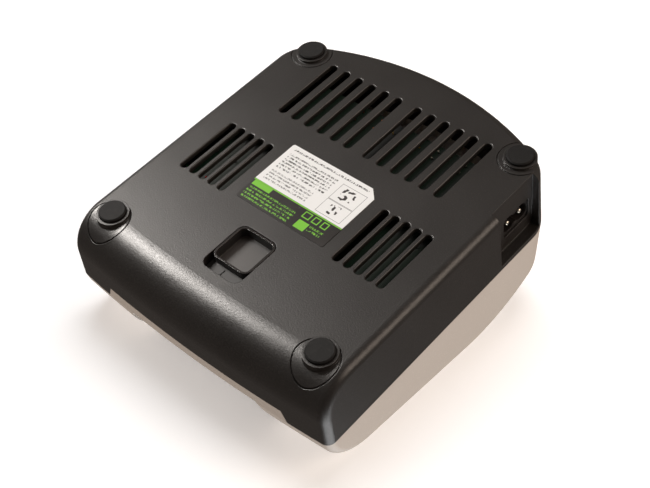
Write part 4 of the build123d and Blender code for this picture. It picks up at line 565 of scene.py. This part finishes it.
def floor(name, middle, lean, seen_from_below):
    """A wide plate that only the camera sees, and only from one side."""
    shape = bpy.data.meshes.new(name)
    build = bmesh.new()
    outer = []
    for u, v in ((-1, -1), (1, -1), (1, 1), (-1, 1)):
        reach = v * FLOOR_REACH
        place = (u * FLOOR_REACH, middle[0] + reach * cos(lean), middle[1] + reach * sin(lean))
        outer.append(build.verts.new(place))
    build.faces.new(outer)
    build.to_mesh(shape)
    build.free()
    plate = bpy.data.objects.new(name, shape)
    bpy.context.scene.collection.objects.link(plate)
    made = Finish(name)
    paper = made.noise(0.9, 2.0)
    made.feed(
        Base_Color=made.mix(FLOOR_WHITE, tuple(c * 0.97 for c in FLOOR_WHITE), paper),
        Roughness=0.9,
        Specular_IOR_Level=0.1,
        Emission_Color=GLOW_WARMTH,
        Emission_Strength=FLOOR_GLOW,
    )
    back = made.node("ShaderNodeNewGeometry", output="Backfacing")
    side = back if seen_from_below else 1 - back
    seen = made.node("ShaderNodeLightPath", output="Is Camera Ray") * side
    clear = made.node("ShaderNodeBsdfTransparent")
    shown = Strand(made, made.shader.outputs[0])
    blend = made.node("ShaderNodeMixShader", {}, {0: seen, 1: clear, 2: shown})
    made.tree.links.new(blend.socket, made.tree.nodes["Material Output"].inputs["Surface"])
    shape.materials.append(made.material)


floor("floor_under_roof", ROOF_LINE, ROOF_SLOPE, True)
floor("floor_under_feet", (0.0, 0.0), 0.0, False)

# Lights: soft boxes on both sides of the charger, a weak bounce as from a white table, and a pale
# even world. Those below light the underside, those above light the roof.
MIDDLE = Vector((0.0, 0.0, 0.035))
WARM = (1.0, 0.95, 0.90)
AMBER = (1.0, 0.84, 0.71)
COOL = (0.97, 0.985, 1.0)
ROOM = (1.0, 0.87, 0.78)
ROOM_STRENGTH = 0.16


def softbox(name, direction, reach, size, power, colour, glossy=True, diffuse=True):
    """A square soft box, so many metres from the charger's middle in a direction, and facing it."""
    lamp = bpy.data.lights.new(name, "AREA")
    lamp.shape, lamp.size, lamp.energy, lamp.color = "SQUARE", size, power, colour
    box = bpy.data.objects.new(name, lamp)
    box.location = MIDDLE + Vector(direction).normalized() * reach
    box.rotation_euler = (MIDDLE - box.location).to_track_quat("-Z", "Y").to_euler()
    box.visible_glossy, box.visible_diffuse = glossy, diffuse
    bpy.context.scene.collection.objects.link(box)


softbox("key_below", (0.20, 0.42, -0.88), 1.5, 1.0, 15.5, COOL, glossy=False)
softbox("roll_light_below", (0.67, -0.06, -0.74), 0.9, 0.32, 14.5, WARM, diffuse=False)
softbox("side_light_below", (-0.80, 0.42, -0.40), 1.2, 0.8, 7.8, AMBER)
softbox("fill_below", (0.70, -0.40, -0.60), 1.4, 1.2, 4.0, WARM, glossy=False)
softbox("table_bounce", (0.20, -0.85, 0.40), 0.9, 0.8, 2.2, AMBER, glossy=False)
softbox("key_above", (-0.50, -0.25, 0.95), 1.5, 1.2, 16.0, COOL)
softbox("rim_above", (0.80, 0.60, 0.55), 1.4, 0.8, 6.0, COOL)

world = bpy.data.worlds.new("pale_room")
bpy.context.scene.world = world
world.use_nodes = True
sky = world.node_tree.nodes["Background"]
sky.inputs["Color"].default_value = (*ROOM, 1.0)
sky.inputs["Strength"].default_value = ROOM_STRENGTH

bpy.context.scene.view_settings.view_transform = "Standard"
